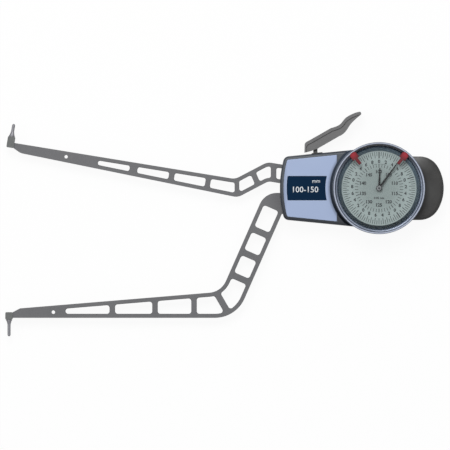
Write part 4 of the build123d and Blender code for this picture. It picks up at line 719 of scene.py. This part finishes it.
def wordShape(words, height, thick, bold):
    # Words of the wanted height in mm, centred on the origin, as a solid slice.
    curve = bpy.data.curves.new("words", "FONT")
    curve.body = words
    curve.size = 1.0
    curve.resolution_u = 3
    curve.offset = bold
    holder = bpy.data.objects.new("words", curve)
    scene.collection.objects.link(holder)
    bpy.context.view_layer.update()
    depsgraph = bpy.context.evaluated_depsgraph_get()
    mesh = bpy.data.meshes.new_from_object(holder.evaluated_get(depsgraph))
    bpy.data.objects.remove(holder)
    bpy.data.curves.remove(curve)
    shape = bmesh.new()
    shape.from_mesh(mesh)
    bpy.data.meshes.remove(mesh)
    across = [vert.co.x for vert in shape.verts]
    middle = (min(across) + max(across)) / 2
    capHeight = 0.73  # of the font at size 1
    grow = height * mm / capHeight
    for vert in shape.verts:
        vert.co.x = (vert.co.x - middle) * grow
        vert.co.y = (vert.co.y - capHeight / 2) * grow
        vert.co.z = 0.0
    bmesh.ops.remove_doubles(shape, verts=shape.verts, dist=1e-7)
    grown = bmesh.ops.extrude_face_region(shape, geom=list(shape.faces))
    for item in grown["geom"]:
        if isinstance(item, bmesh.types.BMVert):
            item.co.z += thick * mm
    bmesh.ops.recalc_face_normals(shape, faces=shape.faces)
    return shape


def layWords(name, placed, material, bold):
    # Each row is words, height, thickness, x, y and z, and the rows are joined to one piece.
    joined = bmesh.new()
    for words, height, thick, x, y, z in placed:
        shape = wordShape(words, height, thick, bold)
        bmesh.ops.translate(shape, verts=shape.verts, vec=Vector((x * mm, y * mm, z)))
        single = bpy.data.meshes.new("single")
        shape.to_mesh(single)
        shape.free()
        joined.from_mesh(single)
        bpy.data.meshes.remove(single)
    return addPiece(name, joined, material)


# Ticks of both scales, in mm from the dial's axis.
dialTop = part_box("dial_face")[1].z
scales = {
    "outer_ticks": dict(count=100, inner=22.8, outer=25.6, width=0.38, thick=0.02),
    "even_ticks": dict(count=50, inner=21.3, outer=22.9, width=0.42, thick=0.02),
    "bold_ticks": dict(count=5, inner=21.1, outer=25.7, width=0.75, thick=0.025),
    "inner_ticks": dict(count=50, inner=14.7, outer=17.1, width=0.36, thick=0.02),
    "inner_bold_ticks": dict(count=10, inner=14.4, outer=17.0, width=0.5, thick=0.025),
}
for name, look in scales.items():
    piece = makeTicks(name, look, dialTop)
    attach(piece, "bezel")
print("stage: ticks laid")

# Figures: every fourth tick of the outer scale has one, every fifth of the inner scale too.
outerWords = [str(place % 5 * 2) for place in range(25)]
innerWords = [str(100 + 5 * place) for place in range(10)]
figures = dict(
    outerRadius=19.0, innerRadius=11.8, height=2.35, thick=0.02, bold=0.034,
    graduation="0.05 mm", graduationHeight=1.5, graduationDrop=6.9,
)
rows = []
for circleWords, radius in ((outerWords, figures["outerRadius"]), (innerWords, figures["innerRadius"])):
    for place, words in enumerate(circleWords):
        angle = math.radians(90 - 360 / len(circleWords) * place)
        x, y = radius * math.cos(angle), radius * math.sin(angle)
        rows.append((words, figures["height"], figures["thick"], x, y, dialTop))
drop = figures["graduationDrop"]
rows.append((figures["graduation"], figures["graduationHeight"], figures["thick"], 0.0, -drop, dialTop))
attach(layWords("dial_figures", rows, finishes["dial_ink"], figures["bold"]), "bezel")

# Thin arc over the top of the inner scale, half of it on either side in degrees.
arcLook = dict(radius=17.1, width=0.16, thick=0.02, half=17.0, steps=24)
arc = bmesh.new()
columns = []
for step in range(arcLook["steps"] + 1):
    angle = math.radians(90 - arcLook["half"] + 2 * arcLook["half"] * step / arcLook["steps"])
    column = []
    for radius, lift in ((-1, 0), (1, 0), (1, 1), (-1, 1)):
        reachOut = (arcLook["radius"] + radius * arcLook["width"] / 2) * mm
        height = dialTop + lift * arcLook["thick"] * mm
        column.append(arc.verts.new((reachOut * math.cos(angle), reachOut * math.sin(angle), height)))
    columns.append(column)
for first, second in zip(columns, columns[1:]):
    for corner in range(4):
        following = (corner + 1) % 4
        arc.faces.new((first[corner], first[following], second[following], second[corner]))
arc.faces.new(columns[0])
arc.faces.new(list(reversed(columns[-1])))
bmesh.ops.recalc_face_normals(arc, faces=arc.faces)
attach(addPiece("dial_arc", arc, finishes["dial_ink"]), "bezel")
print("stage: dial printed")

# Index marks on the slope round the dial: a dot at the right, a short bar at the bottom. The slope is
# in metres, the marks are in mm, and a share is how far up the slope a mark lies.
indexLook = dict(
    slopeInner=0.0265, slopeOuter=0.0286, slopeFoot=0.0004, slopeTop=0.0038, thick=0.08, rim=0.6, crown=0.8,
    dotRadius=0.42, dotShare=0.38, around=12, barWidth=0.9, barShare=0.2, barLength=0.75,
)
slopeLow = Vector((indexLook["slopeInner"], 0.0, dialTop + indexLook["slopeFoot"]))
slopeHigh = Vector((indexLook["slopeOuter"], 0.0, dialTop + indexLook["slopeTop"]))


def onSlope(share, angle):
    # Where a mark lies on the slope, with the slope's own axes.
    across = (slopeHigh - slopeLow).normalized()
    normal = Vector((-across.z, 0.0, across.x))
    place = slopeLow.lerp(slopeHigh, share)
    aside = normal.cross(across)
    onPlace = Matrix((across, aside, normal)).transposed().to_4x4()
    onPlace.translation = place
    return Matrix.Rotation(angle, 4, "Z") @ onPlace


def addMark(name, outline, share, angle):
    # A low block with bevelled edges from its outline.
    shape = bmesh.new()
    top = indexLook["thick"] * mm
    bevel = top * indexLook["rim"]
    inner = indexLook["crown"]
    base = [shape.verts.new((x * mm, y * mm, 0.0)) for x, y in outline]
    rim = [shape.verts.new((x * mm, y * mm, bevel)) for x, y in outline]
    crown = [shape.verts.new((x * inner * mm, y * inner * mm, top)) for x, y in outline]
    for lower, upper in ((base, rim), (rim, crown)):
        for step in range(len(outline)):
            following = (step + 1) % len(outline)
            shape.faces.new((lower[step], lower[following], upper[following], upper[step]))
    shape.faces.new(crown)
    shape.faces.new(list(reversed(base)))
    bmesh.ops.recalc_face_normals(shape, faces=shape.faces)
    shape.transform(onSlope(share, angle))
    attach(addPiece(name, shape, finishes["dial_ink"]), "bezel")


dotOutline = []
for step in range(indexLook["around"]):
    angle = 2 * math.pi * step / indexLook["around"]
    dotOutline.append((indexLook["dotRadius"] * math.cos(angle), indexLook["dotRadius"] * math.sin(angle)))
addMark("index_dot", dotOutline, indexLook["dotShare"], 0.0)
halfLong = indexLook["barLength"] / 2
halfWide = indexLook["barWidth"] / 2
barOutline = [(-halfLong, -halfWide), (halfLong, -halfWide), (halfLong, halfWide), (-halfLong, halfWide)]
addMark("index_bar", barOutline, indexLook["barShare"], math.radians(-90))
print("stage: index marks made")

# Label print: the dial's own measuring range and its unit, placed from the label's middle.
labelLook = dict(
    thick=0.02, bold=0.012,
    rows=(("100-150", 4.2, -0.8, -0.8), ("mm", 2.8, 6.6, 5.2)),
)
labelLow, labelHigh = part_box("name_plate")
middleX = (labelLow.x + labelHigh.x) / 2 / mm
middleY = (labelLow.y + labelHigh.y) / 2 / mm
labelRows = [
    (words, height, labelLook["thick"], middleX + right, middleY + up, labelHigh.z)
    for words, height, right, up in labelLook["rows"]
]
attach(layWords("label_figures", labelRows, finishes["label_ink"], labelLook["bold"]), "housing")
print("stage: label printed")

# Floor: pale and matte, and it shows as white paper to the rays that look straight at it.
floorLook = dict(size=60.0, drop=0.0004, tone=(0.92, 0.92, 0.92), shown=0.93)
floorMesh = bpy.data.meshes.new("floor")
half = floorLook["size"] / 2
low = cadLow.z - floorLook["drop"]
floorMesh.from_pydata(
    [(-half, -half, low), (half, -half, low), (half, half, low), (-half, half, low)], [], [(0, 1, 2, 3)]
)
floor = bpy.data.objects.new("floor", floorMesh)
scene.collection.objects.link(floor)
floorFinish = bpy.data.materials.new("floor_finish")
floorFinish.use_nodes = True
tree = floorFinish.node_tree
tree.nodes.remove(tree.nodes["Principled BSDF"])
matte = tree.nodes.new("ShaderNodeBsdfDiffuse")
matte.inputs["Color"].default_value = dye(floorLook["tone"])
glow = tree.nodes.new("ShaderNodeEmission")
glow.inputs["Color"].default_value = dye((1.0, 1.0, 1.0))
glow.inputs["Strength"].default_value = 1.0


def seenDirectly(tree):
    # 1 for the rays that show the backdrop itself, also in metal and glass.
    rays = tree.nodes.new("ShaderNodeLightPath")
    both = mathNode(tree, "ADD", rays.outputs["Is Camera Ray"], rays.outputs["Is Glossy Ray"])
    return mathNode(tree, "ADD", both, rays.outputs["Is Transmission Ray"], clamp=True)


seen = seenDirectly(tree)
share = mathNode(tree, "MULTIPLY", seen, floorLook["shown"])
blend = tree.nodes.new("ShaderNodeMixShader")
tree.links.new(share, blend.inputs["Fac"])
tree.links.new(matte.outputs[0], blend.inputs[1])
tree.links.new(glow.outputs[0], blend.inputs[2])
tree.links.new(blend.outputs[0], tree.nodes["Material Output"].inputs["Surface"])
floorMesh.materials.append(floorFinish)

# World: white behind the part, and a weak light of its own.
worldLook = dict(light=0.22, shown=1.0)
world = bpy.data.worlds.new("studio")
scene.world = world
world.use_nodes = True
tree = world.node_tree
background = tree.nodes["Background"]
background.inputs["Color"].default_value = dye((1.0, 1.0, 1.0))
strength = rangeNode(tree, seenDirectly(tree), 0.0, 1.0, worldLook["light"], worldLook["shown"])
tree.links.new(strength, background.inputs["Strength"])

# Soft lamps, all turned to the middle of the part.
lamps = {
    "keyLamp": dict(place=(-0.3, 0.75, 1.6), size=0.9, watts=18.5),
    "fillLamp": dict(place=(0.9, 0.8, 1.3), size=1.0, watts=5.0),
    "leftLamp": dict(place=(-1.2, 0.1, 1.3), size=0.9, watts=4.5),
    "frontLamp": dict(place=(0.0, -1.1, 1.4), size=1.0, watts=2.5),
}
aim = Vector((-0.109, -0.026, 0.01))
for name, look in lamps.items():
    data = bpy.data.lights.new(name, "AREA")
    data.shape = "DISK"
    data.size = look["size"]
    data.energy = look["watts"]
    lamp = bpy.data.objects.new(name, data)
    lamp.location = look["place"]
    lamp.rotation_euler = (aim - Vector(look["place"])).to_track_quat("-Z", "Y").to_euler()
    scene.collection.objects.link(lamp)

# Camera: straight down through a long lens. Its picture is as wide as across where the arms lie.
cameraLook = dict(x=-0.10892, y=-0.02604, z=6.0, armHeight=0.014, across=0.3185, sensor=36.0)
cameraData = bpy.data.cameras.new("camera")
cameraData.sensor_width = cameraLook["sensor"]
cameraData.lens = cameraLook["sensor"] * (cameraLook["z"] - cameraLook["armHeight"]) / cameraLook["across"]
cameraData.clip_start = 0.1
cameraData.clip_end = 50.0
camera = bpy.data.objects.new("camera", cameraData)
camera.location = (cameraLook["x"], cameraLook["y"], cameraLook["z"])
scene.collection.objects.link(camera)
scene.camera = camera
scene.view_settings.view_transform = "Standard"
print("stage: floor, light and camera set")
